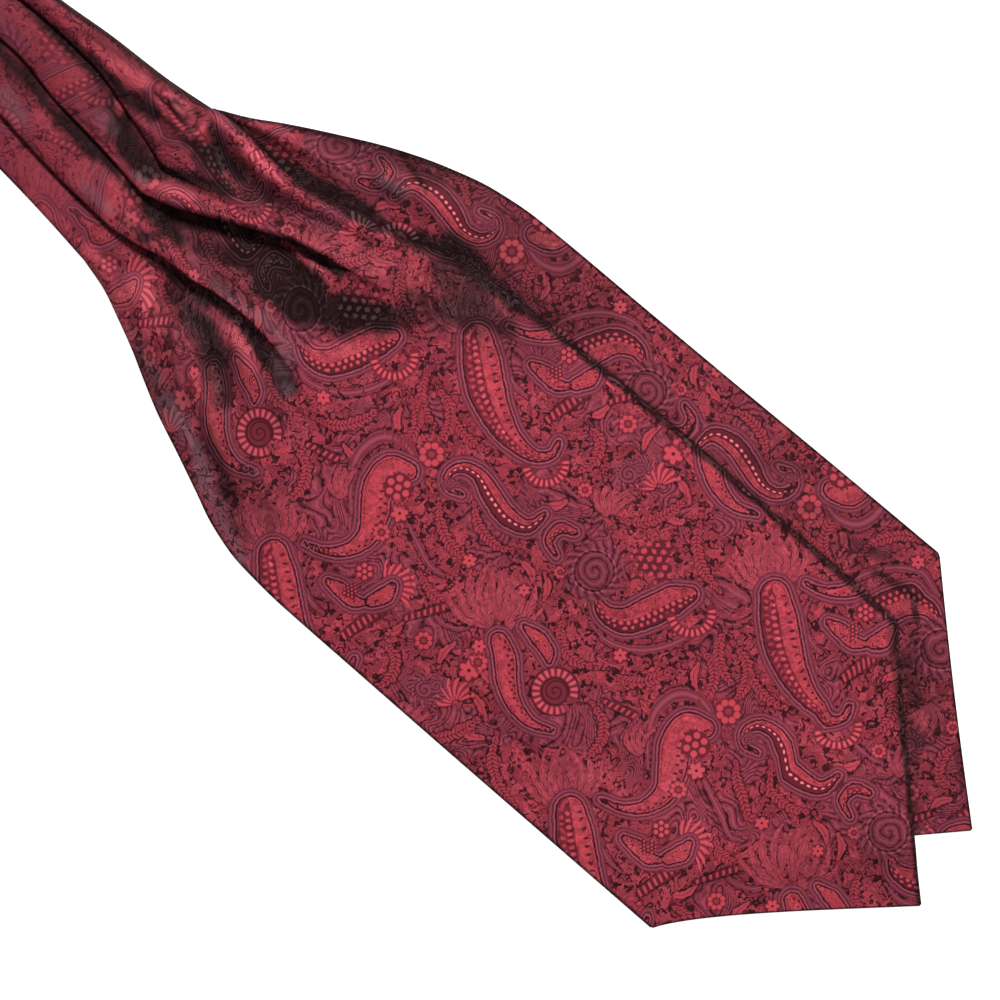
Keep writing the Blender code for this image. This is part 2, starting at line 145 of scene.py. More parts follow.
# painted shade: soft charcoal patches where the folds fall into shade, and a few faint ones over the open cloth: x0,
# y0, x1, y1, half width, strength
PAINTED_SHADES = [(-345, 17.5, -300, 21.5, 1.5, 0.5), (-300, 21.5, -262, 23.8, 1.8, 0.6),
          (-263, 24.0, -245, 22.4, 2.0, 0.9), (-248, 24.0, -228, 22.8, 2.9, 1.0),
          (-228, 22.6, -213, 22.3, 3.4, 1.0), (-213, 17.6, -203, 12.6, 3.0, 0.85),
          (-205, 13.8, -191, 7.6, 4.6, 1.0), (-196, 7.0, -184, 6.0, 3.4, 1.0),
          (-214, 22.4, -203, 22.2, 1.9, 0.95), (-209, 24.0, -197, 24.6, 2.4, 0.9),
          (-198, 26.2, -184, 25.4, 1.2, 0.7), (-203, 31.0, -193, 31.8, 0.8, 0.95),
          (-196, 33.2, -183, 30.0, 1.6, 1.0), (-190, 36.6, -184, 35.4, 0.7, 0.8),
          (-185, 35.4, -181, 29.6, 0.7, 0.8), (-181, 26.4, -166, 26.2, 3.0, 1.0),
          (-178, 35.6, -170, 32.4, 2.4, 0.85), (-172, 30.4, -158, 29.0, 3.2, 1.0),
          (-160, 28.6, -143, 30.0, 2.4, 0.7), (-184, 9.0, -174, 13.4, 1.7, 0.9),
          (-176, 13.6, -159, 20.0, 2.2, 0.9), (-162, 20.6, -150, 24.5, 2.6, 0.65),
          (-152, 25.6, -134, 31.0, 2.4, 0.5), (-138, 33.0, -116, 39.0, 1.8, 0.45),
          (-300, 3.5, -262, 5.2, 2.4, 0.7), (-264, 5.0, -243, 2.6, 3.4, 1.0),
          (-244, 2.4, -222, -0.6, 3.0, 1.0), (-223, -1.0, -205, -1.6, 3.4, 1.0),
          (-206, -0.6, -186, -2.6, 1.6, 1.0), (-252, -2.0, -240, -4.0, 4.0, 0.35),
          (-186, -2.8, -172, -4.2, 2.6, 0.75), (-176, -4.0, -160, -5.4, 3.4, 1.0),
          (-172, -0.2, -156, 3.4, 2.8, 1.0), (-158, 5.0, -140, 12.6, 2.3, 1.0),
          (-158, -1.0, -138, 5.5, 6.0, 0.45), (-150, -5.0, -128, -2.0, 6.5, 0.35),
          (-139, 12.0, -125, 17.0, 4.0, 0.95), (-138, 6.0, -120, 9.5, 6.5, 0.95),
          (-126, 15.0, -108, 16.0, 4.6, 1.0), (-124, 2.5, -104, 3.2, 5.2, 1.0),
          (-110, 9.0, -92, 13.0, 8.0, 1.0), (-94, 15.5, -80, 22.0, 6.5, 1.0),
          (-82, 25.0, -73, 29.0, 4.5, 0.85), (-74, 34.0, -62, 38.0, 5.0, 0.45),
          (-129, 22.8, -116, 24.0, 1.2, 1.0), (-117, 23.6, -104, 26.0, 2.1, 1.0),
          (-168, 1.0, -164, -6.0, 2.6, 0.9), (-165, -6.0, -170, -14.5, 2.2, 0.85),
          (-182, -14.0, -172, -13.2, 1.8, 0.6), (-164, -18.4, -150, -17.8, 1.7, 0.8),
          (-151, -18.0, -136, -17.0, 3.2, 0.95), (-137, -14.6, -116, -14.4, 2.1, 0.95),
          (-117, -14.6, -104, -17.6, 3.4, 1.0), (-104, -18.4, -90, -20.6, 3.8, 0.9),
          (-148, -23.4, -130, -25.0, 3.4, 0.85), (-131, -23.0, -118, -29.0, 4.4, 0.9),
          (-118, -30.0, -106, -38.0, 2.8, 0.7), (-96, -24.0, -82, -34.0, 3.0, 0.45),
          (-118, -50.0, -104, -52.0, 2.0, 0.5), (-100, -58.0, -82, -66.0, 4.4, 0.75),
          (-84, -66.0, -66, -76.0, 4.0, 0.6), (-80, -56.0, -62, -64.0, 4.5, 0.45),
          (-150, -48.0, -122, -58.0, 2.0, 0.3), (-138, -40.0, -112, -48.0, 2.4, 0.3),
          (-173, 43.2, -160, 43.0, 1.2, 0.7), (-161, 42.6, -145, 42.8, 1.7, 0.95),
          (-147, 44.0, -126, 47.4, 3.0, 1.0), (-128, 48.0, -110, 51.6, 2.8, 1.0),
          (-172, 46.5, -160, 46.5, 1.6, 0.5), (-117, 61.5, -107, 63.0, 2.8, 0.75),
          (-116, 76.0, -100, 71.5, 1.3, 0.8), (-105, 51.5, -88, 55.5, 1.8, 0.95),
          (-91, 56.0, -76, 61.4, 3.2, 1.0), (-79, 62.0, -64, 61.5, 6.0, 1.0),
          (-67, 60.5, -44, 61.5, 4.0, 1.0), (-46, 63.0, 0, 64.6, 1.4, 0.8),
          (-59, 50.0, -40, 52.0, 4.0, 0.5),
          (-140, 41.4, -124, 44.4, 2.2, 1.0), (-125, 44.8, -106, 48.0, 2.4, 1.0),
          (-73, 52.0, -58, 54.0, 6.5, 0.85), (-66, 44.0, -50, 45.0, 4.5, 0.6),
          (-136, -27.0, -121, -31.5, 4.2, 0.85), (-122, -32.0, -106, -42.0, 4.0, 0.8),
          (-188, 12.0, -168, 15.0, 2.6, 0.45), (-236, 34.4, -190, 38.6, 1.6, 0.35),
          (-262, 15.0, -215, 12.0, 6.0, 0.18), (-205, 27.5, -186, 24.5, 1.6, 0.45),
          (-330, -16.0, -262, -20.0, 4.0, 0.15), (-190, -27.0, -160, -34.0, 5.0, 0.12),
          (-158, 22.0, -120, 34.0, 5.0, 0.25), (-94, 50.0, -76, 54.0, 2.6, 0.5),
          (128, 74.0, 148, 78.0, 2.0, 0.75), (146, 76.0, 152, 71.0, 1.5, 0.85),
          (160, 56.0, 172, 47.0, 4.5, 0.75), (150, 66.0, 164, 62.0, 4.0, 0.35),
          (168, 40.0, 184, 36.0, 3.5, 0.6), (186, 30.0, 200, 14.0, 2.2, 0.45),
          (196, 44.0, 208, 34.0, 1.6, 0.5), (110, 76.0, 130, 82.0, 2.4, 0.5),
          (60, 74.0, 84, 88.0, 3.0, 0.3), (84, 70.0, 100, 80.0, 2.6, 0.35),
          (146, 63.0, 152, 57.0, 2.0, 0.6), (152, 56.0, 190, 22.0, 1.3, 0.6),
           (-176, 22.6, -166, 23.6, 2.0, 0.75), (-192, 8.6, -182, 9.2, 1.6, 0.45),
           (-236, 31.0, -206, 34.0, 3.0, 0.24), (-208, 34.6, -184, 36.6, 2.2, 0.32),
           (-138, 41.5, -112, 46.5, 2.4, 0.32), (-166, 15.6, -156, 20.4, 2.6, 0.42),
           (-140, -21.0, -122, -26.0, 2.6, 0.38), (-146, 58.0, -124, 68.0, 5.0, 0.28),
           (-104, 74.0, -82, 82.0, 5.0, 0.22), (12, -2.0, 52, -4.0, 14.0, 0.14),
           (172, 57.0, 187, 44.0, 4.0, 0.38), (192, -10.0, 214, -11.0, 9.0, 0.12),
          (-262, 33.6, -232, 36.2, 1.6, 0.5), (-238, 30.4, -214, 33.0, 1.6, 0.45),
          (-224, 36.0, -204, 38.0, 1.6, 0.55), (-212, 32.4, -196, 35.6, 1.3, 0.45),
          (-200, 37.2, -182, 39.4, 1.5, 0.5), (-204, 9.0, -190, 8.0, 4.0, 0.8),
          (-192, 7.6, -180, 8.4, 3.0, 0.9), (-170, 20.0, -160, 22.5, 3.0, 0.7),
          (-150, -1.0, -138, 3.0, 3.6, 0.7), (-96, 20.0, -84, 26.0, 3.5, 0.6),
          (-138, -8.0, -124, -6.0, 3.4, 0.45), (-140, -26.0, -104, -24.0, 8.0, 0.2),
          (-142, 70.0, -102, 83.0, 8.0, 0.5), (-100, 83.0, -66, 88.0, 5.0, 0.28),
          (-64, 71.0, -18, 77.0, 11.0, 0.3), (-58, 86.0, -20, 88.0, 3.5, 0.3),
          (-60, 40.0, -24, 52.0, 7.0, 0.25), (-100, 34.0, -62, 46.0, 6.0, 0.25),
          (-98, -50.0, -64, -70.0, 8.0, 0.12), (-220, 14.0, -184, 22.0, 4.0, 0.3),
          (186, -20.0, 212, -2.0, 12.0, 0.10), (182, 30.0, 204, 20.0, 8.0, 0.12),
          (-206, 27.5, -198, 24.8, 2.6, 0.65), (-118, 74.0, -104, 80.0, 6.0, 0.3),
          (-56, 66.0, -22, 68.0, 3.0, 0.45),
          (-238, 24.0, -216, 24.2, 2.2, 0.9), (-222, 4.0, -206, 1.5, 2.4, 0.6),
          (-200, 11.5, -188, 10.0, 3.2, 0.7),
          (-77, 35.6, -57, 44.6, 5.2, 0.62), (-51, 52.5, -43, 52.0, 4.2, 0.65),
          (-46, 60.0, -32, 61.5, 2.6, 0.55), (-70, 84.0, -52, 87.0, 5.0, 0.25),
          (-98, -14.0, -90, -20.0, 3.0, 0.5)]

# painted shadow on the dark side and painted highlight on the bright crest of each fold's
# edge.  rows: x, shadow strength, shadow width, highlight strength
FOLD_LIGHT_LINES = [
    [(-356, 0.6, 0.8, 0.10), (-262, 0.8, 1.2, 0.15), (-238, 1.0, 2.0, 0.15), (-205, 0.9, 1.4, 0.25),
     (-190, 0.4, 0.8, 0.10), (-180, 0.0, 0.6, 0.0), (-100, 0.0, 0.6, 0.0)],
    [(-356, 0.9, 1.0, 0.15), (-300, 0.9, 1.2, 0.2), (-262, 1.0, 2.0, 0.3), (-235, 1.0, 2.4, 0.45),
     (-212, 1.0, 1.6, 0.8), (-186, 1.0, 1.1, 1.0), (-178, 1.0, 1.2, 0.7), (-164, 1.0, 1.7, 0.5),
     (-146, 1.0, 1.6, 0.3), (-130, 1.0, 1.2, 0.25), (-104, 0.6, 0.9, 0.1), (-92, 0.0, 0.6, 0.0)],
    [(-356, 0.9, 0.8, 0.15), (-262, 1.0, 0.9, 0.2), (-205, 1.0, 0.9, 0.3), (-182, 0.9, 0.8, 0.5),
     (-166, 1.0, 1.1, 1.0), (-150, 1.0, 1.4, 0.9), (-134, 1.0, 1.6, 0.4), (-118, 0.8, 1.6, 0.4),
     (-100, 0.5, 1.4, 0.25), (-86, 0.0, 1.0, 0.0)]]

# painted highlights: spots where the satin is lit at its brightest
PAINTED_HIGHLIGHTS = [(-236, 28.4, -230, 29.4, 1.6, 0.55), (-226, 29.4, -208, 31.6, 2.4, 0.42),
          (-210, 32.6, -188, 36.4, 1.0, 0.30), (-200, 34.0, -184, 31.0, 0.6, 0.5),
          (-182, 27.6, -180, 35.0, 1.0, 0.5), (-160, 38.0, -150, 37.0, 2.6, 0.75),
          (-150, 37.0, -141, 37.0, 1.2, 0.75), (-180, 4.6, -166, 10.4, 1.8, 0.42),
          (-178, 39.4, -160, 38.6, 1.0, 0.35), (-128, 20.4, -104, 21.8, 1.1, 0.4),
          (-163, -14.6, -142, -12.4, 1.0, 0.35), (-122, -18.0, -106, -23.0, 2.6, 0.35),
          (-160, -28.0, -146, -36.0, 5.0, 0.30), (-212, 17.8, -190, 19.4, 0.8, 0.4),
          (-92, -1.0, -78, 8.0, 3.0, 0.3), (-108, 33.0, -92, 37.0, 2.5, 0.2),
          (122, -34.0, 146, -40.0, 9.0, 0.14),
          (-214, -29.4, -182, -31.8, 2.6, 0.26), (-182, -31.8, -158, -40.0, 3.4, 0.36),
          (-160, -42.0, -146, -47.0, 2.6, 0.26), (104, -60.0, 140, -62.0, 14.0, 0.14),
          (142, 8.0, 170, 14.0, 8.0, 0.12)]

# painted sheen: where the satin throws back a pale violet light, painted into its colour
PAINTED_SHEENS = [(-124, -55.5, -102, -62.7, 2.4, 0.75), (-102, -62.7, -91, -69.5, 2.4, 0.8),
         (-91, -69.5, -60, -83.0, 2.2, 0.6), (-116, 63.5, -106, 66.0, 2.4, 0.4),
         (-212, 10.5, -206, 10.0, 3.0, 0.28), (-188.5, 2.0, -182.5, 2.8, 1.3, 0.7),
         (-246, -7.0, -236, -10.0, 3.5, 0.4), (-138, -9.5, -116, -8.5, 2.0, 0.35),
         (-116, -6.0, -96, -11.0, 2.6, 0.35), (-101, -14.0, -90, -22.0, 3.2, 0.42),
         (-200, -14.0, -186, -14.5, 2.2, 0.35), (-150, -44.0, -130, -52.0, 2.5, 0.3),
         (-134, -50.0, -110, -58.0, 3.0, 0.28)]


# ------------------------------------------------------------------------ helpers
def lines(rows, xs):
    """All columns of a table at the stations xs, by monotone cubics. Rows x columns."""
    rows = np.asarray(rows, float)
    tx, ty = rows[:, 0], rows[:, 1:]
    x = np.clip(np.asarray(xs, float), tx[0], tx[-1])
    h = np.diff(tx)[:, None]
    d = np.diff(ty, axis=0) / h
    m = np.zeros_like(ty)
    m[0], m[-1] = d[0], d[-1]
    a, b = d[:-1], d[1:]
    w1, w2 = 2 * h[1:] + h[:-1], h[1:] + 2 * h[:-1]
    same = a * b > 0
    safe_a, safe_b = np.where(same, a, 1.0), np.where(same, b, 1.0)
    m[1:-1] = np.where(same, (w1 + w2) / (w1 / safe_a + w2 / safe_b), 0.0)
    k = np.clip(np.searchsorted(tx, x, side="right") - 1, 0, len(tx) - 2)
    hh = h[k]
    t = (x - tx[k])[:, None] / hh
    return ((2 * t**3 - 3 * t**2 + 1) * ty[k] + (t**3 - 2 * t**2 + t) * hh * m[k]
            + (-2 * t**3 + 3 * t**2) * ty[k + 1] + (t**3 - t**2) * hh * m[k + 1])


def step(a, b, v):
    t = np.clip((np.asarray(v, float) - a) / (b - a), 0.0, 1.0)
    return t * t * (3 - 2 * t)


def mix(a, b, t):
    return a + (b - a) * t


def outline(right, left, point_x, point_y, xs, bow=0.9):
    """The two edges of a pointed blade at the stations."""
    xs = np.minimum(np.asarray(xs, float), point_x - 0.5)
    rx, ry = right[-1]
    lx, ly = left[-1]
    r = lines(right, xs)[:, 0]
    l = lines(left, xs)[:, 0]
    t = np.clip((xs - rx) / (point_x - rx), 0, 1)
    r = np.where(xs > rx, ry + (point_y - ry) * t - 0.9 * np.sin(math.pi * t), r)
    t = np.clip((xs - lx) / (point_x - lx), 0, 1)
    l = np.where(xs > lx, ly + (point_y - ly) * t + bow * np.sin(math.pi * t ** 0.55), l)
    return r, l


def catmull(points, counts):
    """Smooth curves through control points, for every station at once.

    points is stations x controls x 2, counts the columns in each interval."""
    p = np.concatenate([2 * points[:, :1] - points[:, 1:2], points,
                        2 * points[:, -1:] - points[:, -2:-1]], axis=1)
    out = []
    n = points.shape[1]
    for k in range(n - 1):
        p0, p1, p2, p3 = p[:, k], p[:, k + 1], p[:, k + 2], p[:, k + 3]
        d1 = np.linalg.norm(p1 - p0, axis=1)[:, None] ** 0.5 + 1e-6
        d2 = np.linalg.norm(p2 - p1, axis=1)[:, None] ** 0.5 + 1e-6
        d3 = np.linalg.norm(p3 - p2, axis=1)[:, None] ** 0.5 + 1e-6
        m1 = (p1 - p0) / d1 - (p2 - p0) / (d1 + d2) + (p2 - p1) / d2
        m2 = (p2 - p1) / d2 - (p3 - p1) / (d2 + d3) + (p3 - p2) / d3
        m1, m2 = m1 * d2, m2 * d2
        steps = np.arange(counts[k]) / counts[k]
        for t in steps:
            out.append((2 * t**3 - 3 * t**2 + 1) * p1 + (t**3 - 2 * t**2 + t) * m1
                       + (-2 * t**3 + 3 * t**2) * p2 + (t**3 - t**2) * m2)
    out.append(points[:, -1])
    return np.stack(out, axis=1)


def ripple(x, y, seed, scale):
    """A slow, uneven wave in the cloth: a few crossing sines, unit size."""
    rng = np.random.default_rng(seed)
    z = np.zeros_like(x)
    for k in range(6):
        ang = rng.uniform(0, math.pi)
        freq = 2 * math.pi / (scale * rng.uniform(0.6, 1.7))
        ph = rng.uniform(0, 2 * math.pi)
        z += np.sin((x * math.cos(ang) + y * math.sin(ang)) * freq + ph
                    + 0.8 * np.sin(y * freq * 0.37 + ph))
    return z / 6.0


def crease_height(x, y, rows):
    z = np.zeros_like(x)
    for x0, y0, x1, y1, width, high in rows:
        dx, dy = x1 - x0, y1 - y0
        length = math.hypot(dx, dy)
        s = ((x - x0) * dx + (y - y0) * dy) / length
        t = ((x - x0) * dy - (y - y0) * dx) / length
        t = t + 0.08 * length * (s / length) * (s / length - 1) * 1.2
        along = step(0.0, 0.35, s / length) * (1 - step(0.55, 1.0, s / length))
        z += high * np.exp(-(t / width) ** 2) * along
    return z


# --------------------------------------------------------- what the front cloth lies on
def inside_back(x, y):
    side = y - lines(BACK_LEFT, x.ravel())[:, 0].reshape(x.shape)
    lx, ly = BACK_LEFT[-1]
    ux, uy = POINT_B - lx, POINT_BY - ly
    slant = ((y - ly) * ux - (x - lx) * uy) / math.hypot(ux, uy)
    return np.where(x > lx - 60, np.minimum(side, slant), side)


def rest_height(x, y):
    low = (THICK + 0.9) * step(-15.0, -3.0, inside_back(x, y))
    return low + (BACK_STACK + GAP - THICK - 0.9) * (1 - step(-180, -158, x))


# ------------------------------------------------------------------ the front sheet
# columns of the grid between the control lines, right edge to left edge
FOLD_COUNTS = [2, 3, 3, 3, 2]
FRONT_COUNTS = ([4, 5, 7, 4] + FOLD_COUNTS + [5, 5] + FOLD_COUNTS + [7, 7] + FOLD_COUNTS
                + [6, 6, 5, 5])


def fold_points(y_f, z_t, y_t, z_b, tuck, opened, lean):
    """Six control points of one knife pleat, closed (0) to opened out (1)."""
    z_m = 0.5 * (z_t + z_b)
    closed = [(y_f + 1.6, z_t), (y_f, 0.5 * (z_t + z_m)), (y_f + 1.5, z_m),
              (y_f + tuck - 1.5, z_m), (y_f + tuck, 0.5 * (z_m + z_b)),
              (y_f + tuck - 1.6, z_b)]
    drop = z_t - z_b
    gap = y_f - y_t
    crest = np.minimum(1.9, 0.5 * np.maximum(lean, 0.6))
    opened_pts = [(y_f + crest, z_t - 0.03 * drop),
                  (y_f + 0.25 * crest, z_t),
                  (y_f - 0.03 * gap, z_t - 0.20 * drop),
                  (y_f - 0.24 * gap, z_t - 0.60 * drop),
                  (y_f - 0.60 * gap, z_b + 0.12 * drop),
                  (y_f - 1.05 * gap, z_b)]
    return [(mix(a[0], b[0], opened), mix(a[1], b[1], opened))
            for a, b in zip(closed, opened_pts)]


def front_controls(xs):
    n = len(xs)
    right, left = outline(FRONT_RIGHT, FRONT_LEFT, POINT_F, POINT_FY, xs, bow=3.6)
    neck = lines(NECK, xs)
    fy = lines(FOLD_Y, xs)
    fz = lines(FOLD_Z, xs)
    in_neck = 1 - step(-190, -174, xs)
    # neck lines
    nr, n1, n2, n3, nl, tuck, puff = neck.T
    right = np.where(xs < RELEASE, nr, right)
    left = np.where(xs < RELEASE, nl, left)
    tuck1 = np.minimum(tuck, 0.5 * (nr - n1))
    base = np.zeros(n)
    top = np.full(n, 2 * PITCH)
    roll, pocket, shoulder, f1, g1, mid2, fa, ta, hollow, fb, tb, ridge, tc, margin = fy.T
    zroll, zpocket, zshoulder, z1, zg1, zmid2, za, zta, zhollow, zb, ztb, zridge, ztc, zmargin = fz.T

    def both(neck_value, blade_value):
        return mix(blade_value, neck_value, in_neck)

    pts = []
    # pleat 1, from the edge to fold 1
    w1 = nr - n1
    edge_z = both(base, 0.9 * step(-186, -170, xs) * (1 - step(-100, -60, xs)))
    pts.append((right, edge_z))
    pts.append((both(nr - 0.07 * w1, roll), both(base + 1.9, zroll)))
    pts.append((both(nr - 0.36 * w1, pocket), both(top + 0.5 * puff, zpocket)))
    pts.append((both(nr - 0.70 * w1, shoulder), both(top + 0.7 * puff, zshoulder)))
    y1, t1 = both(n1, f1), both(n1 + tuck1, g1)
    pts += fold_points(y1, both(top + 0.2, z1), g1, both(base, zg1), mix(0.8, tuck1, in_neck),
                       step(-190, -172, xs), shoulder - f1)
    # pleat 2
    w2 = n1 - n2
    pts.append((both(n1 - 0.45 * w2, mid2), both(mix(base, top, 0.62) + 0.8 * puff, zmid2)))
    ya = both(n2, fa)
    open_a = step(-150, -96, xs)
    pts += fold_points(ya, both(top + 0.3 * puff, za), ta, both(base, zta),
                       mix(3.4, tuck, in_neck), open_a, mid2 - fa)
    # pleat 3
    w3 = n2 - n3
    pts.append((both(n2 - 0.5 * w3, hollow), both(mix(base, top, 0.6) + 0.8 * puff, zhollow)))
    yb = both(n3, fb)
    open_b = step(-170, -122, xs)
    pts += fold_points(yb, both(top + 0.3 * puff, zb), tb, both(base, ztb),
                       mix(2.6, tuck, in_neck), open_b, hollow - fb)
    # pleat 4
    w4 = n3 - nl
    pts.append((both(n3 - 0.42 * w4, ridge), both(base + 0.9 * puff, zridge)))
    pts.append((both(n3 - 0.68 * w4, tc), both(base + 0.8 * puff, ztc)))
    pts.append((both(n3 - 0.88 * w4, margin), both(base + 0.4 * puff, zmargin)))
    pts.append((left, np.zeros(n)))
    c = np.stack([np.stack([y, z * np.ones(n)], axis=-1) for y, z in pts], axis=1)

    # past the folds every control line lies at its share of the width
    share = np.concatenate([[0], np.cumsum(FRONT_COUNTS)]) / sum(FRONT_COUNTS)
    flat_y = right[:, None] + (left - right)[:, None] * share[None, :]
    k = step(-62, -18, xs)[:, None]
    c[:, :, 0] = mix(c[:, :, 0], flat_y, k)
    c[:, :, 1] = c[:, :, 1] * (1 - k)
    return c, (y1, ya, yb)


def stations(parts):
    """Stations along the length from rows of (start, end, spacing)."""
    xs = []
    for a, b, s in parts:
        n = max(int(round((b - a) / s)), 1)
        xs += list(a + (b - a) * np.arange(n) / n)
    xs.append(parts[-1][1])
    return np.array(xs)


def grid_normals(p):
    du = np.gradient(p, axis=0)
    dv = np.gradient(p, axis=1)
    n = np.cross(dv, du)
    n /= np.linalg.norm(n, axis=2)[:, :, None] + 1e-12
    return n


def section_length(p):
    d = np.linalg.norm(np.diff(p, axis=1), axis=2)
    s = np.concatenate([np.zeros((p.shape[0], 1)), np.cumsum(d, axis=1)], axis=1)
    return s


def sheet_mesh(name, p, normal, thick, attrs):
    """A closed thin sheet on the grid p: a face, a back and a rounded edge."""
    n, m = p.shape[:2]
    half = thick / 2.0
    up, down = p + normal * half, p - normal * half
    idx = np.arange(n * m).reshape(n, m)
    ring = np.concatenate([idx[0, :], idx[1:, -1], idx[-1, -2::-1], idx[-2:0:-1, 0]])
    flat = p.reshape(-1, 3)
    fn = normal.reshape(-1, 3)
    inner = np.empty_like(flat)
    grid = p
    away = np.zeros_like(p)
    away[0] += grid[0] - grid[1]
    away[-1] += grid[-1] - grid[-2]
    away[:, 0] += (grid[:, 0] - grid[:, 1]) / (np.linalg.norm(grid[:, 0] - grid[:, 1], axis=1)[:, None] + 1e-9)
    away[:, -1] += (grid[:, -1] - grid[:, -2]) / (np.linalg.norm(grid[:, -1] - grid[:, -2], axis=1)[:, None] + 1e-9)
    away = away.reshape(-1, 3)[ring]
    away /= np.linalg.norm(away, axis=1)[:, None] + 1e-9
    rim = flat[ring] + away * half * 0.9
    verts = np.concatenate([up.reshape(-1, 3), down.reshape(-1, 3), rim]) * MM
    verts[:, 0] += PLAN_X * MM
    verts[:, 1] += PLAN_Y * MM
    verts[:, 2] = np.maximum(verts[:, 2], 0.00002)
    a, b, c, d = idx[:-1, :-1].ravel(), idx[1:, :-1].ravel(), idx[1:, 1:].ravel(), idx[:-1, 1:].ravel()
    face_up = np.stack([a, d, c, b], axis=1)
    face_down = np.stack([a, b, c, d], axis=1) + n * m
    k = len(ring)
    r0 = np.arange(k) + 2 * n * m
    r1 = np.roll(r0, -1)
    q0, q1 = ring, np.roll(ring, -1)
    rim_up = np.stack([q1, q0, r0, r1], axis=1)
    rim_down = np.stack([r1, r0, q0 + n * m, q1 + n * m], axis=1)
    faces = np.concatenate([face_up, face_down, rim_up, rim_down])
    mesh = bpy.data.meshes.new(name)
    mesh.from_pydata(verts.tolist(), [], faces.tolist())
    # one place in the map for each side and the edge between them
    gi, gj = np.meshgrid(np.linspace(0.012, 0.988, n), np.linspace(0, 1, m), indexing="ij")
    uv_up = np.stack([0.012 + 0.474 * gj, gi], axis=-1).reshape(-1, 2)
    uv_dn = np.stack([0.988 - 0.474 * gj, gi], axis=-1).reshape(-1, 2)
    out = np.zeros((n, m, 2))
    out[0, :, 1] -= 1
    out[-1, :, 1] += 1
    out[:, 0, 0] -= 1
    out[:, -1, 0] += 1
    out = out.reshape(-1, 2)[ring] * 0.004
    flip = out * np.array([-1, 1])
    uv = mesh.uv_layers.new(name="OFBake")
    loops = np.concatenate([
        uv_up[face_up].reshape(-1, 2), uv_dn[face_up[:, ::-1] * 0 + face_down - n * m].reshape(-1, 2),
        np.stack([uv_up[q1], uv_up[q0], uv_up[q0] + out, uv_up[q1] + np.roll(out, -1, axis=0)], axis=1).reshape(-1, 2),
        np.stack([uv_dn[q1] + np.roll(flip, -1, axis=0), uv_dn[q0] + flip, uv_dn[q0], uv_dn[q1]], axis=1).reshape(-1, 2)])
    uv.data.foreach_set("uv", np.clip(loops, 0.0, 1.0).ravel().astype(np.float32))
    for key, value in attrs.items():
        v = value.reshape(n * m, -1)
        # on the back side the painted shade is weaker, and there is no painted highlight or sheen
        under = {"painted_shade": 0.3 * v, "painted_highlight": 0.0 * v, "painted_sheen": 0.0 * v}.get(key, v)
        full = np.concatenate([v, under, v[ring]])
        if full.shape[1] == 1:
            at = mesh.attributes.new(key, "FLOAT", "POINT")
            at.data.foreach_set("value", full.ravel().astype(np.float32))
        elif full.shape[1] == 3:
            at = mesh.attributes.new(key, "FLOAT_VECTOR", "POINT")
            at.data.foreach_set("vector", full.ravel().astype(np.float32))
        else:
            at = mesh.attributes.new(key, "FLOAT_COLOR", "POINT")
            at.data.foreach_set("color", full.ravel().astype(np.float32))
    # which side, 0 on the face and 1 on the back
    side = np.concatenate([np.zeros(n * m), np.ones(n * m), np.full(k, 0.5)])
    at = mesh.attributes.new("side", "FLOAT", "POINT")
    at.data.foreach_set("value", side.astype(np.float32))
    mesh.validate()
    mesh.shade_smooth()
    on_ring = np.zeros(len(verts), bool)
    on_ring[ring] = True
    on_ring[ring + n * m] = True
    pairs = np.empty(len(mesh.edges) * 2, np.int32)
    mesh.edges.foreach_get("vertices", pairs)
    pairs = pairs.reshape(-1, 2)
    sharp = mesh.attributes.new("sharp_edge", "BOOLEAN", "EDGE")
    sharp.data.foreach_set("value", on_ring[pairs].all(axis=1) & (abs(pairs[:, 0] - pairs[:, 1]) < n * m))
    ob = bpy.data.objects.new(name, mesh)
    bpy.context.scene.collection.objects.link(ob)
    return ob


# ------------------------------------------------------ the woven pattern's drawing
# The repeat is drawn on the flat cloth in pattern units of 0.3876 mm.  Each motif is a
# spine with a width, a fan of plumes, or a round figure; it gives a distance and two
# coordinates of its own to every point of the cloth, and the weave is drawn from them.
UNIT = 0.3876
REPEAT_A = (295.0, 258.0)
REPEAT_B = (-204.0, 216.0)


def to_pattern(v, u):
    """Flat cloth (along, across) in mm to pattern units."""
    return (500 + (0.755 * v + 0.656 * u) / UNIT, 500 + (0.656 * v - 0.755 * u) / UNIT)


def spine(points, samples=48):
    p = np.asarray(points, float)
    c = catmull(p[None, :, :2], [max(2, samples // (len(p) - 1))] * (len(p) - 1))[0]
    w = np.interp(np.linspace(0, 1, len(c)), np.linspace(0, 1, len(p)), p[:, 2])
    return c, w


def spine_field(q, curve, width):
    """Distance to a body drawn along a spine, its length coordinate and its side."""
    seg = np.diff(curve, axis=0)
    ln = np.linalg.norm(seg, axis=1)
    cum = np.concatenate([[0], np.cumsum(ln)])
    best = np.full(len(q), 1e9)
    s = np.zeros(len(q))
    t = np.zeros(len(q))
    for k in range(len(seg)):
        d = seg[k] / max(ln[k], 1e-9)
        r = q - curve[k]
        a = np.clip(r @ d, 0, ln[k])
        off = r - a[:, None] * d
        dist = np.linalg.norm(off, axis=1)
        w = width[k] + (width[k + 1] - width[k]) * a / max(ln[k], 1e-9)
        m = dist - w
        cross = d[0] * r[:, 1] - d[1] * r[:, 0]
        take = m < best
        best = np.where(take, m, best)
        s = np.where(take, cum[k] + a, s)
        t = np.where(take, np.sign(cross) * dist / np.maximum(w, 1.0), t)
    return best, s, t


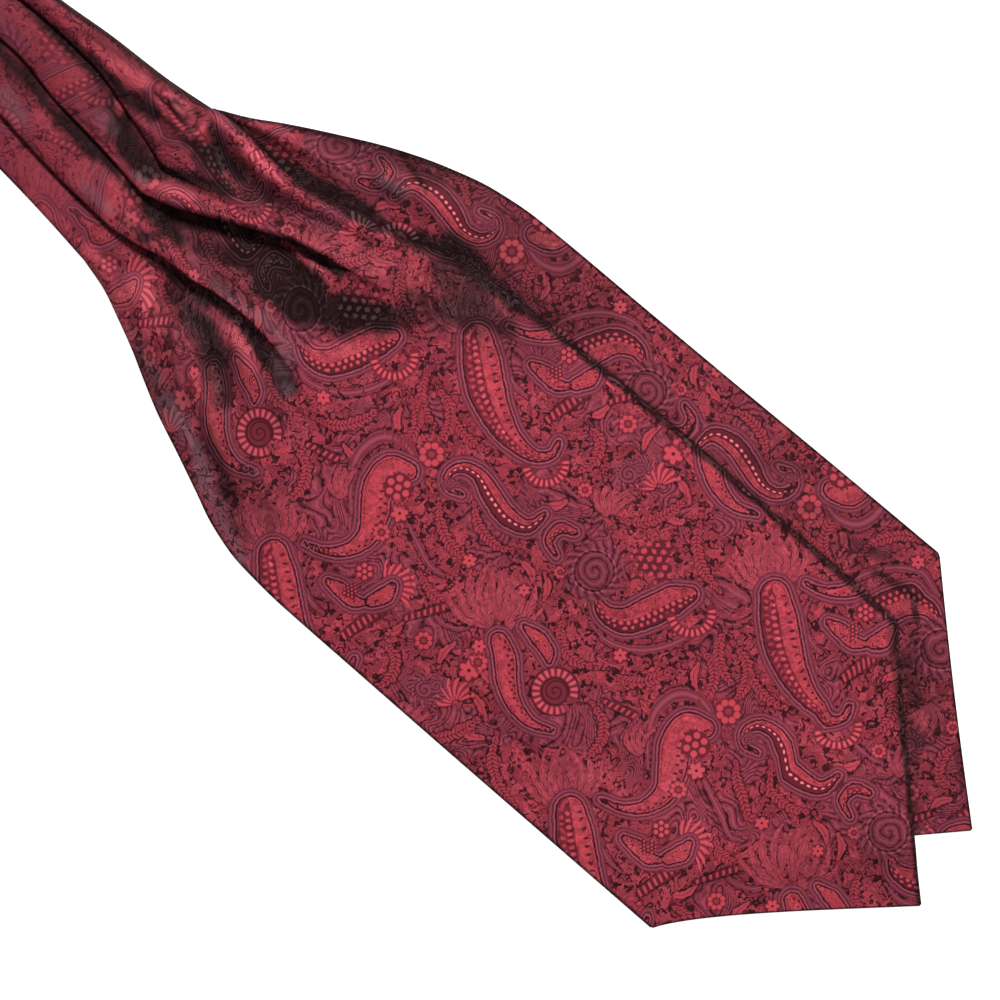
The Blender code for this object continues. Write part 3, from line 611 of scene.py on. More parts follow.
# bodies: kind, then (x, y, half width) along the spine, head first
# kind 1 long paisley, 2 studded body, 3 curl with a bead row, 4 comma with a dotted
# belly, 5 plain ribbon, 6 netted leaf, 7 fern, 8 small leaf
BODIES = [
    (1, [(479, 336, 14), (483, 360, 18), (488, 388, 18), (498, 415, 14), (514, 440, 9),
         (536, 456, 5), (552, 454, 3.4), (559, 442, 2.2)]),
    (2, [(410, 470, 9), (392, 468, 14), (380, 486, 15), (377, 510, 14), (370, 533, 10),
         (350, 548, 6), (326, 549, 3), (306, 541, 1.4)]),
    (3, [(463, 494, 1.2), (450, 487, 2.4), (449, 474, 3.4), (462, 466, 4.4), (480, 474, 6),
         (492, 494, 9), (508, 516, 9), (528, 526, 6), (545, 514, 2)]),
    (4, [(596, 596, 2.4), (604, 612, 7), (624, 620, 12), (648, 612, 14.5), (672, 600, 14),
         (690, 594, 7)]),
    (2, [(499, 640, 8), (505, 658, 11), (507, 680, 10), (514, 703, 7), (530, 722, 4),
         (552, 730, 1.6)]),
    (6, [(524, 626, 2), (538, 638, 7), (548, 652, 6), (549, 662, 1.6)]),
    (6, [(533, 364, 3), (545, 372, 7), (558, 384, 6), (572, 386, 2)]),
    (6, [(577, 384, 6), (590, 378, 8), (598, 368, 3)]),
    (4, [(556, 556, 1.6), (549, 540, 3.6), (560, 528, 5.2), (575, 532, 3)]),
]
SPRIGS = [
    (5, [(353, 512, 1.5), (353, 478, 4), (362, 450, 6), (384, 435, 6.5), (407, 443, 5),
         (420, 466, 3), (424, 488, 1.5)]),
    (5, [(590, 622, 1), (606, 640, 3), (640, 650, 4), (676, 642, 4), (704, 622, 2)]),
    (5, [(516, 338, 1.2), (508, 360, 2.4), (516, 384, 2.6), (530, 398, 1)]),
    (5, [(408, 520, 1.5), (420, 545, 3.4), (432, 566, 3), (452, 578, 1)]),
    (5, [(340, 668, 1), (352, 690, 2.4), (372, 712, 2.4), (398, 724, 1)]),
    (7, [(432, 368, 2), (423, 390, 6), (427, 412, 6), (442, 432, 2)]),
    (7, [(448, 398, 2), (456, 420, 5), (474, 442, 5), (500, 454, 2)]),
    (7, [(584, 424, 2), (600, 440, 6), (594, 462, 6), (574, 474, 2)]),
    (7, [(440, 500, 2), (442, 524, 6), (454, 548, 6), (474, 560, 2)]),
    (7, [(474, 500, 2), (480, 526, 6), (498, 546, 5), (522, 552, 2)]),
    (7, [(616, 520, 2), (644, 522, 6), (670, 512, 6), (690, 494, 2)]),
    (7, [(702, 512, 2), (696, 544, 6), (704, 572, 6), (722, 594, 2)]),
    (7, [(566, 612, 2), (560, 638, 6), (574, 660, 6), (596, 668, 2)]),
    (7, [(606, 672, 2), (634, 682, 6), (660, 676, 6), (680, 662, 2)]),
    (7, [(700, 646, 2), (714, 670, 6), (708, 694, 6), (692, 706, 2)]),
    (7, [(730, 640, 2), (746, 662, 6), (744, 688, 6), (730, 704, 2)]),
    (7, [(590, 700, 2), (604, 724, 6), (598, 746, 6), (580, 760, 2)]),
    (7, [(622, 352, 2), (636, 376, 6), (652, 388, 5), (664, 390, 2)]),
    (8, [(520, 560, 1), (530, 570, 4), (534, 584, 1)]),
    (8, [(544, 572, 1), (548, 586, 4), (544, 600, 1)]),
    (8, [(468, 578, 1), (456, 590, 4), (440, 596, 1)]),
    (8, [(548, 420, 1), (560, 410, 4), (576, 408, 1)]),
    (8, [(610, 404, 1), (600, 414, 4), (586, 416, 1)]),
    (8, [(642, 452, 1), (648, 436, 4), (660, 426, 1)]),
    (8, [(516, 462, 1), (512, 448, 4), (500, 440, 1)]),
    (8, [(568, 500, 1), (556, 506, 4), (540, 502, 1)]),
    (8, [(700, 470, 1), (690, 460, 4), (686, 446, 1)]),
    (8, [(640, 700, 1), (650, 712, 4), (666, 714, 1)]),
    (8, [(540, 746, 1), (552, 752, 4), (566, 750, 1)]),
    (8, [(470, 690, 1), (480, 704, 4), (486, 720, 1)]),
    (8, [(458, 726, 1), (470, 736, 4), (488, 738, 1)]),
    (8, [(404, 404, 1), (398, 418, 4), (402, 432, 1)]),
    (5, [(700, 604, 1), (716, 620, 2.6), (738, 624, 2.6), (756, 612, 1)]),
    (5, [(604, 476, 1), (612, 500, 2.6), (598, 520, 2.4), (580, 520, 1)]),
    (5, [(430, 600, 1), (440, 620, 2.4), (462, 628, 2.4), (480, 618, 1)]),
    (5, [(524, 596, 1), (540, 610, 2.4), (548, 630, 1)]),
]
# fans: kind, centre x, y, inner and outer radius, first and last angle (degrees, 0 right,
# 90 down), how many plumes, curl of the plumes
# kind 1 plumes, 3 shell
FANS = [
    (1, 478, 332, 5, 66, 172, 262, 6, 0.75),
    (1, 480, 330, 5, 60, 262, 352, 5, -0.8),
    (1, 497, 628, 6, 72, 176, 250, 5, 0.7),
    (1, 499, 626, 6, 66, 250, 300, 4, 0.15),
    (1, 500, 628, 6, 60, 300, 372, 4, -0.7),
    (3, 388, 588, 6, 36, 250, 395, 9, 0.3),
    (1, 350, 500, 6, 44, 190, 262, 4, 0.9),
    (1, 612, 520, 6, 42, 200, 300, 5, 0.7),
    (3, 456, 704, 5, 30, 160, 330, 8, 0.4),
]
# bars: x0, y0, x1, y1, half width
BARS = [(342, 637, 384, 606, 7.5), (404, 618, 446, 606, 5.0), (602, 700, 636, 716, 5.0)]
# round figures: kind, centre x, y, radius, turn in degrees
# 1 rosette of seven beads, 2 ring flower, 3 laddered ring, 4 arc of beads, 5 star flower,
# 6 snail curl, 7 bead cluster
ROUNDS = [
    (1, 400, 486, 15, 10), (2, 433, 453, 14, 0), (5, 401, 512, 10, 20), (2, 383, 531, 9.5, 15),
    (3, 555, 691, 25, 200), (4, 546, 463, 25, 80), (4, 691, 612, 26, 80), (5, 673, 454, 12, 5),
    (6, 594, 571, 31, 120), (7, 655, 562, 25, 30), (2, 478, 662, 11, 10), (5, 479, 646, 8, 30),
    (6, 452, 482, 9, 200), (1, 366, 570, 10, 0), (2, 424, 640, 10, 0), (5, 620, 655, 8, 0),
    (2, 585, 490, 8, 0), (6, 424, 690, 16, 30), (7, 352, 590, 11, 0), (5, 470, 560, 8, 12),
    (6, 640, 470, 12, 80), (6, 700, 620, 10, 200), (2, 560, 572, 7, 0), (5, 524, 590, 7, 0),
]


def pattern_layers(v, u, turned=None):
    """Four layers of (a, b, distance, kind) for every point of the flat cloth."""
    x, y = to_pattern(v, u)
    if turned is not None:
        x, y = turned[0] - x, turned[1] - y
    q = np.stack([x.ravel(), y.ravel()], axis=1)
    n = len(q)
    layers = [np.stack([np.zeros(n), np.zeros(n), np.full(n, 60.0), np.zeros(n)], axis=1)
              for _ in range(4)]
    lo, hi = q.min(axis=0) - 80, q.max(axis=0) + 80
    shifts = []
    for i in range(-8, 9):
        for j in range(-8, 9):
            c = np.array([470 + i * REPEAT_A[0] + j * REPEAT_B[0],
                          520 + i * REPEAT_A[1] + j * REPEAT_B[1]])
            if (c > lo - 200).all() and (c < hi + 200).all():
                shifts.append(np.array([i * REPEAT_A[0] + j * REPEAT_B[0],
                                        i * REPEAT_A[1] + j * REPEAT_B[1]]))

    def put(layer, where, a, b, m, kind):
        cur = layers[layer]
        take = m < cur[where, 2]
        rows = where[take]
        cur[rows, 0], cur[rows, 1] = a[take], b[take]
        cur[rows, 2], cur[rows, 3] = m[take], kind

    bodies = [(0, kind, *spine(pts)) for kind, pts in BODIES]
    bodies += [(3, kind, *spine(pts, 24)) for kind, pts in SPRIGS]
    for shift in shifts:
        p = q - shift
        for level, kind, curve, width in bodies:
            pad = width.max() + (26 if level == 0 else 12)
            ok = ((p > curve.min(axis=0) - pad) & (p < curve.max(axis=0) + pad)).all(axis=1)
            where = np.nonzero(ok)[0]
            if len(where):
                m, s, t = spine_field(p[where], curve, width)
                put(level, where, s, t, m, kind)
        for kind, cx, cy, r0, r1, a0, a1, count, curl in FANS:
            d = p - (cx, cy)
            r = np.linalg.norm(d, axis=1)
            where = np.nonzero(r < r1 + 16)[0]
            if not len(where):
                continue
            dd, rr = d[where], r[where]
            mid, half = math.radians(0.5 * (a0 + a1)), math.radians(0.5 * (a1 - a0))
            # the plumes bend as they go out
            ang = np.arctan2(dd[:, 1], dd[:, 0]) - mid - curl * (rr / r1) ** 1.5
            ang = (ang + math.pi) % (2 * math.pi) - math.pi
            f = ang / half
            phase = (f + 1) * 0.5 * count
            lobe = 0.80 + 0.20 * np.cos(2 * math.pi * (phase - 0.5)) - 0.10 * np.abs(f)
            m = np.maximum(np.maximum(rr - r1 * lobe, r0 - rr), (np.abs(ang) - half) * rr)
            put(1, where, (f + 1) * 0.5 * count, rr / r1, m, kind)
        for x0, y0, x1, y1, hw in BARS:
            d = np.array([x1 - x0, y1 - y0], float)
            ln = np.linalg.norm(d)
            d /= ln
            r = p - (x0, y0)
            s = r @ d
            t = d[0] * r[:, 1] - d[1] * r[:, 0]
            m = np.maximum(np.abs(t) - hw * (0.55 + 0.45 * np.clip(s / ln, 0, 1)), np.abs(s - ln / 2) - ln / 2)
            where = np.nonzero(m < 12)[0]
            put(1, where, s[where], t[where] / hw, m[where], 2)
        for kind, cx, cy, rad, turn in ROUNDS:
            d = p - (cx, cy)
            r = np.linalg.norm(d, axis=1)
            where = np.nonzero(r < rad + 14)[0]
            if not len(where):
                continue
            c, s = math.cos(math.radians(turn)), math.sin(math.radians(turn))
            dd = d[where] / rad
            a = dd[:, 0] * c + dd[:, 1] * s
            b = -dd[:, 0] * s + dd[:, 1] * c
            put(2, where, a, b, r[where] - rad, kind)
    shape = x.shape
    return [l.reshape(shape + (4,)) for l in layers], np.stack([x, y, np.zeros_like(x)], axis=-1)


# ----------------------------------------------------------- small language for nodes
class Val:
    """A number in a material's node tree, with ordinary arithmetic."""

    def __init__(self, net, sock):
        self.net, self.sock = net, sock

    def _op(self, op, *others, clamp=False):
        return self.net.math(op, self, *others, clamp=clamp)

    def __add__(self, o): return self._op("ADD", o)
    __radd__ = __add__
    def __sub__(self, o): return self._op("SUBTRACT", o)
    def __rsub__(self, o): return self.net.math("SUBTRACT", o, self)
    def __mul__(self, o): return self._op("MULTIPLY", o)
    __rmul__ = __mul__
    def __truediv__(self, o): return self._op("DIVIDE", o)
    def __rtruediv__(self, o): return self.net.math("DIVIDE", o, self)


class Net:
    def __init__(self, material):
        self.tree = material.node_tree
        self.count = 0

    def node(self, kind, **props):
        nd = self.tree.nodes.new(kind)
        nd.location = (200 * (self.count % 12), -180 * (self.count // 12))
        self.count += 1
        for k, v in props.items():
            setattr(nd, k, v)
        return nd

    def put(self, socket, value):
        if isinstance(value, Val):
            self.tree.links.new(value.sock, socket)
        elif isinstance(value, bpy.types.NodeSocket):
            self.tree.links.new(value, socket)
        else:
            socket.default_value = value

    def math(self, op, *args, clamp=False):
        nd = self.node("ShaderNodeMath", operation=op, use_clamp=clamp)
        for k, a in enumerate(args):
            self.put(nd.inputs[k], a)
        return Val(self, nd.outputs[0])

    def smooth(self, a, b, v):
        nd = self.node("ShaderNodeMapRange", interpolation_type="SMOOTHSTEP")
        self.put(nd.inputs["Value"], v)
        nd.inputs["From Min"].default_value = a
        nd.inputs["From Max"].default_value = b
        return Val(self, nd.outputs[0])

    def attr(self, name):
        nd = self.node("ShaderNodeAttribute", attribute_name=name)
        return nd

    def mix(self, a, b, t):
        nd = self.node("ShaderNodeMix", data_type="FLOAT")
        self.put(nd.inputs[0], t)
        self.put(nd.inputs[2], a)
        self.put(nd.inputs[3], b)
        return Val(self, nd.outputs[0])

    def noise(self, vector, scale, detail=2.0, rough=0.5, distortion=0.0):
        nd = self.node("ShaderNodeTexNoise", noise_dimensions="2D")
        self.tree.links.new(vector, nd.inputs["Vector"])
        nd.inputs["Scale"].default_value = scale
        nd.inputs["Detail"].default_value = detail
        nd.inputs["Roughness"].default_value = rough
        nd.inputs["Distortion"].default_value = distortion
        return Val(self, nd.outputs["Fac"])


def silk_material(name):
    mat = bpy.data.materials.new(name)
    mat.use_nodes = True
    tree = mat.node_tree
    tree.nodes.clear()
    g = Net(mat)
    absv = lambda v: g.math("ABSOLUTE", v)
    fract = lambda v: g.math("FRACT", v)
    mx = lambda a, b: g.math("MAXIMUM", a, b)

    def below(v, lo, hi):
        """1 under lo, 0 over hi."""
        return 1.0 - g.smooth(lo, hi, v)

    def band(v, lo, hi, soft):
        """1 where v lies between lo and hi, with soft sides."""
        return g.smooth(lo - soft, lo + soft, v) * below(v, hi - soft, hi + soft)

    def is_kind(kind, k):
        return g.math("COMPARE", kind, float(k), 0.4)

    def split(socket):
        sep = g.node("ShaderNodeSeparateXYZ")
        tree.links.new(socket, sep.inputs[0])
        return [Val(g, o) for o in sep.outputs]

    def layer(key):
        at = g.attr(key)
        return (*split(at.outputs["Vector"]), Val(g, at.outputs["Alpha"]))

    pos = g.attr("plan").outputs["Vector"]
    px, py, _ = split(pos)

    # a gentle waver, so that no drawn line is mechanical
    wav = g.node("ShaderNodeTexNoise", noise_dimensions="2D")
    tree.links.new(pos, wav.inputs["Vector"])
    wav.inputs["Scale"].default_value = 0.06
    wav.inputs["Detail"].default_value = 0.6
    shift = g.node("ShaderNodeVectorMath", operation="SUBTRACT")
    tree.links.new(wav.outputs["Color"], shift.inputs[0])
    shift.inputs[1].default_value = (0.5, 0.5, 0.5)
    swing = g.node("ShaderNodeVectorMath", operation="MULTIPLY_ADD")
    tree.links.new(shift.outputs[0], swing.inputs[0])
    swing.inputs[1].default_value = (20.0, 20.0, 0.0)
    tree.links.new(pos, swing.inputs[2])
    fine = g.node("ShaderNodeTexNoise", noise_dimensions="2D")
    tree.links.new(pos, fine.inputs["Vector"])
    fine.inputs["Scale"].default_value = 0.21
    fine.inputs["Detail"].default_value = 0.0
    less = g.node("ShaderNodeVectorMath", operation="SUBTRACT")
    tree.links.new(fine.outputs["Color"], less.inputs[0])
    less.inputs[1].default_value = (0.5, 0.5, 0.5)
    wiggle = g.node("ShaderNodeVectorMath", operation="MULTIPLY_ADD")
    tree.links.new(less.outputs[0], wiggle.inputs[0])
    wiggle.inputs[1].default_value = (9.0, 9.0, 0.0)
    tree.links.new(swing.outputs[0], wiggle.inputs[2])
    warped = wiggle.outputs[0]

    n1 = g.noise(pos, 0.022, 1.0, 0.4, 0.5)
    n2 = g.noise(pos, 0.115, 0.0, 0.5, 0.9)
    n3 = g.noise(pos, 0.013, 1.0, 0.5, 0.0)
    n4 = g.noise(pos, 0.30, 1.0, 0.5, 0.0)
    n5 = g.noise(pos, 0.15, 0.6, 0.5, 1.0)

    # ---- ground: small petals and leaves crowded together, dark between them
    vor = g.node("ShaderNodeTexVoronoi", voronoi_dimensions="2D", feature="DISTANCE_TO_EDGE")
    tree.links.new(warped, vor.inputs["Vector"])
    vor.inputs["Scale"].default_value = 0.112
    vor.inputs["Randomness"].default_value = 1.0
    rim = Val(g, vor.outputs["Distance"])
    cell = g.node("ShaderNodeTexVoronoi", voronoi_dimensions="2D", feature="F1")
    tree.links.new(warped, cell.inputs["Vector"])
    cell.inputs["Scale"].default_value = 0.112
    cell.inputs["Randomness"].default_value = 1.0
    heart = Val(g, cell.outputs["Distance"])
    lot, lot2, _ = split(cell.outputs["Color"])
    gape = g.smooth(0.50, 0.66, n5)
    line = below(rim - gape * 0.13, 0.010, 0.085)
    blob = g.smooth(0.57, 0.645, n5)
    curl = band(heart, 0.20, 0.27, 0.04) * g.smooth(0.45, 0.5, lot2)
    dusk = g.smooth(0.42, 0.56, n3)
    clutter = 0.560 + (lot - 0.5) * 0.20 - line * 0.25 - curl * 0.15 - blob * 0.33 - dusk * 0.05
    clutter = clutter + band(rim, 0.10, 0.15, 0.03) * 0.07
    hem = band(n5, 0.528, 0.552, 0.014)
    clutter = clutter + hem * 0.13
    # and swirls of parallel lines in the calmer places
    flow = absv(fract(n1 * 16.0) - 0.5)
    swirl = 0.50 - below(flow, 0.05, 0.17) * 0.27 + g.smooth(0.36, 0.46, flow) * 0.12
    swirl = swirl - blob * 0.12
    calm = g.smooth(0.55, 0.59, n3)
    tone = g.mix(clutter, swirl, calm)
    tone = tone + (n4 - 0.5) * 0.16
    purple = calm * 0.5 + g.smooth(0.5, 0.9, lot2) * 0.22 + hem * 0.5 + blob * 0.4

    # ---- sprigs: ferns, ribbons and small leaves
    s, t, m, kind = layer("motif_d")
    at_ = absv(t)
    lobes = absv(fract(s / 8.2) - 0.5) * 2.0
    m = m + (n5 - 0.5) * 2.4 + lobes * 1.8 * is_kind(kind, 7)
    barbs = absv(fract(s / 4.1 - at_ * 0.9 + n5 * 0.8) - 0.5)
    fern = 0.62 - g.smooth(0.20, 0.38, barbs) * 0.27 - below(at_, 0.04, 0.2) * 0.16
    ribbon = 0.50 + below(at_, 0.14, 0.34) * 0.10 - band(at_, 0.50, 0.70, 0.1) * 0.16
    small = 0.66 - below(at_, 0.04, 0.2) * 0.26
    k5, k7, k8 = (is_kind(kind, k) for k in (5, 7, 8))
    sprig = fern * k7 + ribbon * k5 + small * k8 + (1.0 - k5 - k7 - k8) * 0.42
    cover = below(m, -0.5, 0.6)
    tone = g.mix(tone, sprig, cover)
    purple = g.mix(purple, is_kind(kind, 5) * 0.8, cover)
    tone = tone - band(m, 0.6, 1.9, 0.6) * 0.30

    # ---- plumes, shells and bars
    a, b, m, kind = layer("motif_b")
    inside = below(m + (n5 - 0.5) * 5.0 + (n2 - 0.5) * 14.0 * is_kind(kind, 1), -0.8, 0.8)
    ph = fract(a)
    ridge = absv(ph - 0.5)
    ridge = g.mix(ridge, absv(fract(a + (n2 - 0.5) * 0.7) - 0.5), is_kind(kind, 1))
    plume = 0.56 - g.smooth(0.38, 0.48, ridge) * 0.26 + band(ridge, 0.27, 0.35, 0.04) * 0.14
    plume = plume - band(ridge, 0.17, 0.21, 0.03) * 0.12 + below(ridge, 0.02, 0.12) * 0.12
    plume = plume + (n5 - 0.5) * 0.30
    shell = 0.54 + below(ridge, 0.16, 0.28) * 0.26 - g.smooth(0.40, 0.48, ridge) * 0.30
    s_bar = absv(fract(a / 6.4 + b * 0.2) - 0.5)
    bar = 0.24 + below(s_bar, 0.16, 0.28) * 0.46 * below(absv(b), 0.35, 0.8)
    k1, k2, k3 = (is_kind(kind, k) for k in (1, 2, 3))
    fan_tone = plume * k1 + bar * k2 + shell * k3 + (1.0 - k1 - k2 - k3) * 0.42
    tone = g.mix(tone, fan_tone, inside)
    purple = g.mix(purple, is_kind(kind, 1) * (0.2 + g.smooth(0.3, 0.45, ridge) * 0.6), inside)
    tone = tone - band(m, 0.0, 1.2, 0.6) * 0.24

    # ---- bodies
    s, t, m, kind = layer("motif_a")
    w = m + (n5 - 0.5) * 1.8
    near = below(w, 7.4, 8.6)
    echo = (0.47 - band(w, -0.6, 0.8, 0.45) * 0.36 + band(w, 1.5, 2.3, 0.4) * 0.24
            - band(w, 3.4, 4.4, 0.4) * 0.20 + band(w, 4.9, 5.6, 0.4) * 0.14
            - band(w, 7.2, 8.2, 0.4) * 0.16)
    outside = g.smooth(-0.9, -0.2, w)
    side = absv(t)
    bright = 0.665 + (n4 - 0.5) * 0.28 + (n5 - 0.5) * 0.44 - band(w, -3.4, -2.6, 0.5) * 0.16
    bright = bright - g.smooth(0.60, 0.70, n4) * 0.2

    def beads(pitch, start, at_t, reach, size):
        """A row of round beads along the body."""
        bx = absv(fract(s / pitch + start) - 0.5) * pitch
        by = absv(t - at_t) * reach
        return below(g.math("SQRT", bx * bx + by * by), size - 0.55, size + 0.55)

    dot = beads(8.6, 0.0, -0.62, 9.0, 1.4)
    dot2 = beads(8.6, 0.5, -0.30, 9.0, 1.3)
    bead = beads(6.8, 0.0, 0.24, 12.0, 2.0)
    bead3 = beads(6.8, 0.5, 0.66, 12.0, 1.7)
    belly = 0.34 + (n5 - 0.5) * 0.5 + bead * 0.42 + bead3 * 0.30
    long_body = g.mix(belly, bright - dot * 0.42, below(t, -0.10, 0.02))
    stud_body = bright - dot * 0.40 - dot2 * 0.40 - band(side, 0.74, 0.82, 0.05) * 0.10
    curl_body = g.mix(0.30 + bead * 0.66, bright, below(t, -0.16, 0.0))
    curl_body = curl_body - band(t, -0.14, -0.02, 0.05) * 0.3
    net = absv(fract(n2 * 9.0) - 0.5)
    comma = g.mix(bright - below(net, 0.06, 0.2) * 0.26, 0.24 + bead * 0.56 + bead3 * 0.54,
                  g.smooth(0.02, 0.14, t))
    leaf = 0.74 - below(net, 0.10, 0.26) * 0.45
    body_tone = (long_body * is_kind(kind, 1) + stud_body * is_kind(kind, 2)
                 + curl_body * is_kind(kind, 3) + comma * is_kind(kind, 4)
                 + leaf * is_kind(kind, 6))
    known = (is_kind(kind, 1) + is_kind(kind, 2) + is_kind(kind, 3) + is_kind(kind, 4)
             + is_kind(kind, 6))
    body_tone = body_tone + (1.0 - known) * 0.42
    body_tone = g.mix(body_tone, echo, outside)
    tone = g.mix(tone, body_tone, near)
    figure = 1.0 - outside
    purple = g.mix(purple, outside * 0.9, near)

    # ---- round figures
    a, b, m, kind = layer("motif_c")
    r = g.math("SQRT", a * a + b * b)
    ang = g.math("ARCTAN2", b, a) / (2 * math.pi)

    def petals(count, radius, size, squeeze=1.0):
        """Distance from the nearest of a ring of beads, over the bead's size."""
        f = (fract(ang * float(count)) - 0.5) * (2 * math.pi / count)
        cx = r * g.math("COSINE", f) - radius
        cy = r * g.math("SINE", f)
        return g.math("SQRT", cx * cx + cy * cy * squeeze) / size

    def disc(d):
        return below(d, 0.70, 1.14)

    rose = 0.30 + mx(disc(petals(6, 0.62, 0.25)), disc(r / 0.24)) * 0.46
    ringf = 0.32 + disc(petals(8, 0.66, 0.27)) * 0.42 + below(r, 0.16, 0.30) * 0.2
    rung = absv(fract(ang * 20.0) - 0.5)
    rungs = below(rung, 0.20, 0.34) * band(r, 0.62, 0.92, 0.05)
    open_arc = g.smooth(-0.42, -0.36, ang)
    ladder = (0.38 + rungs * 0.44 * open_arc - band(r, 0.93, 1.0, 0.03) * 0.22
              - band(r, 0.50, 0.58, 0.03) * 0.22)
    ladder = ladder - below(absv(fract(r * 4.0 - ang) - 0.5), 0.06, 0.2) * 0.2 * below(r, 0.46, 0.52)
    rung2 = absv(fract(ang * 24.0) - 0.5)
    arcs = below(rung2, 0.20, 0.34) * band(r, 0.66, 0.94, 0.06) * band(ang, -0.25, 0.25, 0.02)
    arc = 0.34 + arcs * 0.48
    star = 0.30 + disc(petals(6, 0.50, 0.42, 2.2)) * 0.46 - below(r, 0.10, 0.2) * 0.25
    coil = absv(fract(r * 3.4 - ang + n1 * 2.0 + (n5 - 0.5) * 0.35) - 0.5)
    snail = 0.46 - below(coil, 0.04, 0.15) * 0.24 + g.smooth(0.34, 0.46, coil) * 0.12
    rib = absv(fract(ang * 17.0 + r * 2.6 + (n5 - 0.5) * 0.9) - 0.5)
    frill = 0.45 - below(rib, 0.06, 0.18) * 0.22 + g.smooth(0.30, 0.45, rib) * 0.13
    frill = frill - band(r, 0.60, 0.66, 0.025) * 0.22 + band(r, 0.67, 0.72, 0.02) * 0.16
    snail = g.mix(snail, frill, g.smooth(0.58, 0.62, r + (n5 - 0.5) * 0.1))
    wob = (n5 - 0.5) * 0.5
    hexx = absv(fract(a * 2.9 + 0.25 + wob) - 0.5) / 2.9
    hexy = absv(fract(b * 2.9 + g.math("FLOOR", a * 2.9 + 0.25 + wob) * 0.5 - wob) - 0.5) / 2.9
    clus = 0.26 + below(g.math("SQRT", hexx * hexx + hexy * hexy), 0.080, 0.145) * 0.46
    round_tone = (rose * is_kind(kind, 1) + ringf * is_kind(kind, 2) + ladder * is_kind(kind, 3)
                  + arc * is_kind(kind, 4) + star * is_kind(kind, 5) + snail * is_kind(kind, 6)
                  + clus * is_kind(kind, 7))
    known = (is_kind(kind, 1) + is_kind(kind, 2) + is_kind(kind, 3) + is_kind(kind, 4)
             + is_kind(kind, 5) + is_kind(kind, 6) + is_kind(kind, 7))
    round_tone = round_tone + (1.0 - known) * 0.42
    cover = below(m + (n5 - 0.5) * 4.0 + (n2 - 0.5) * 18.0 * is_kind(kind, 6), -0.9, 0.9)
    # an arc covers only its own band, the rest lies open
    arc_open = band(ang, -0.28, 0.28, 0.02) * g.smooth(0.56, 0.64, r)
    cover = cover * (1.0 - is_kind(kind, 4) * (1.0 - arc_open))
    cover = cover * (1.0 - is_kind(kind, 7) * g.smooth(0.62, 0.95, r + (n2 - 0.5) * 1.6))
    cover = cover * (1.0 - is_kind(kind, 3) * below(ang, -0.42, -0.36) * g.smooth(0.5, 0.6, r))
    tone = g.mix(tone, round_tone, cover)
    figure = mx(figure, cover)
    purple = g.mix(purple, is_kind(kind, 6) * 0.9 + is_kind(kind, 3) * 0.15, cover)

    quiet = Val(g, g.attr("quiet").outputs["Fac"])
    tone = 0.47 + (tone - 0.47) * (1.0 - quiet)

    # ---- colours of the threads: crimson figure, purple satin, black ground
    ramp = g.node("ShaderNodeValToRGB")
    ramp.color_ramp.interpolation = "LINEAR"
    stops = [(0.00, (0.0170, 0.0040, 0.0056)), (0.22, (0.058, 0.0085, 0.0130)),
             (0.36, (0.114, 0.0130, 0.0230)), (0.50, (0.186, 0.0225, 0.0345)),
             (0.64, (0.296, 0.0330, 0.0470)), (0.80, (0.435, 0.0470, 0.0660)),
             (0.92, (0.590, 0.1100, 0.1400)), (1.00, (0.740, 0.2300, 0.2600))]
    ramp.color_ramp.elements[0].position = stops[0][0]
    ramp.color_ramp.elements[0].color = (*stops[0][1], 1)
    ramp.color_ramp.elements[1].position = stops[-1][0]
    ramp.color_ramp.elements[1].color = (*stops[-1][1], 1)
    for p_, c_ in stops[1:-1]:
        e = ramp.color_ramp.elements.new(p_)
        e.color = (*c_, 1)
    tree.links.new(tone.sock, ramp.inputs[0])
    weft = g.node("ShaderNodeMix", data_type="RGBA")
    g.put(weft.inputs[0], purple)
    tree.links.new(ramp.outputs[0], weft.inputs[6])
    tint = g.node("ShaderNodeValToRGB")
    tint.color_ramp.elements[0].position = 0.15
    tint.color_ramp.elements[0].color = (0.008, 0.0034, 0.0055, 1)
    tint.color_ramp.elements[1].position = 0.80
    tint.color_ramp.elements[1].color = (0.300, 0.0780, 0.1150, 1)
    mid = tint.color_ramp.elements.new(0.47)
    mid.color = (0.135, 0.0220, 0.0380, 1)
    tree.links.new(tone.sock, tint.inputs[0])
    tree.links.new(tint.outputs[0], weft.inputs[7])
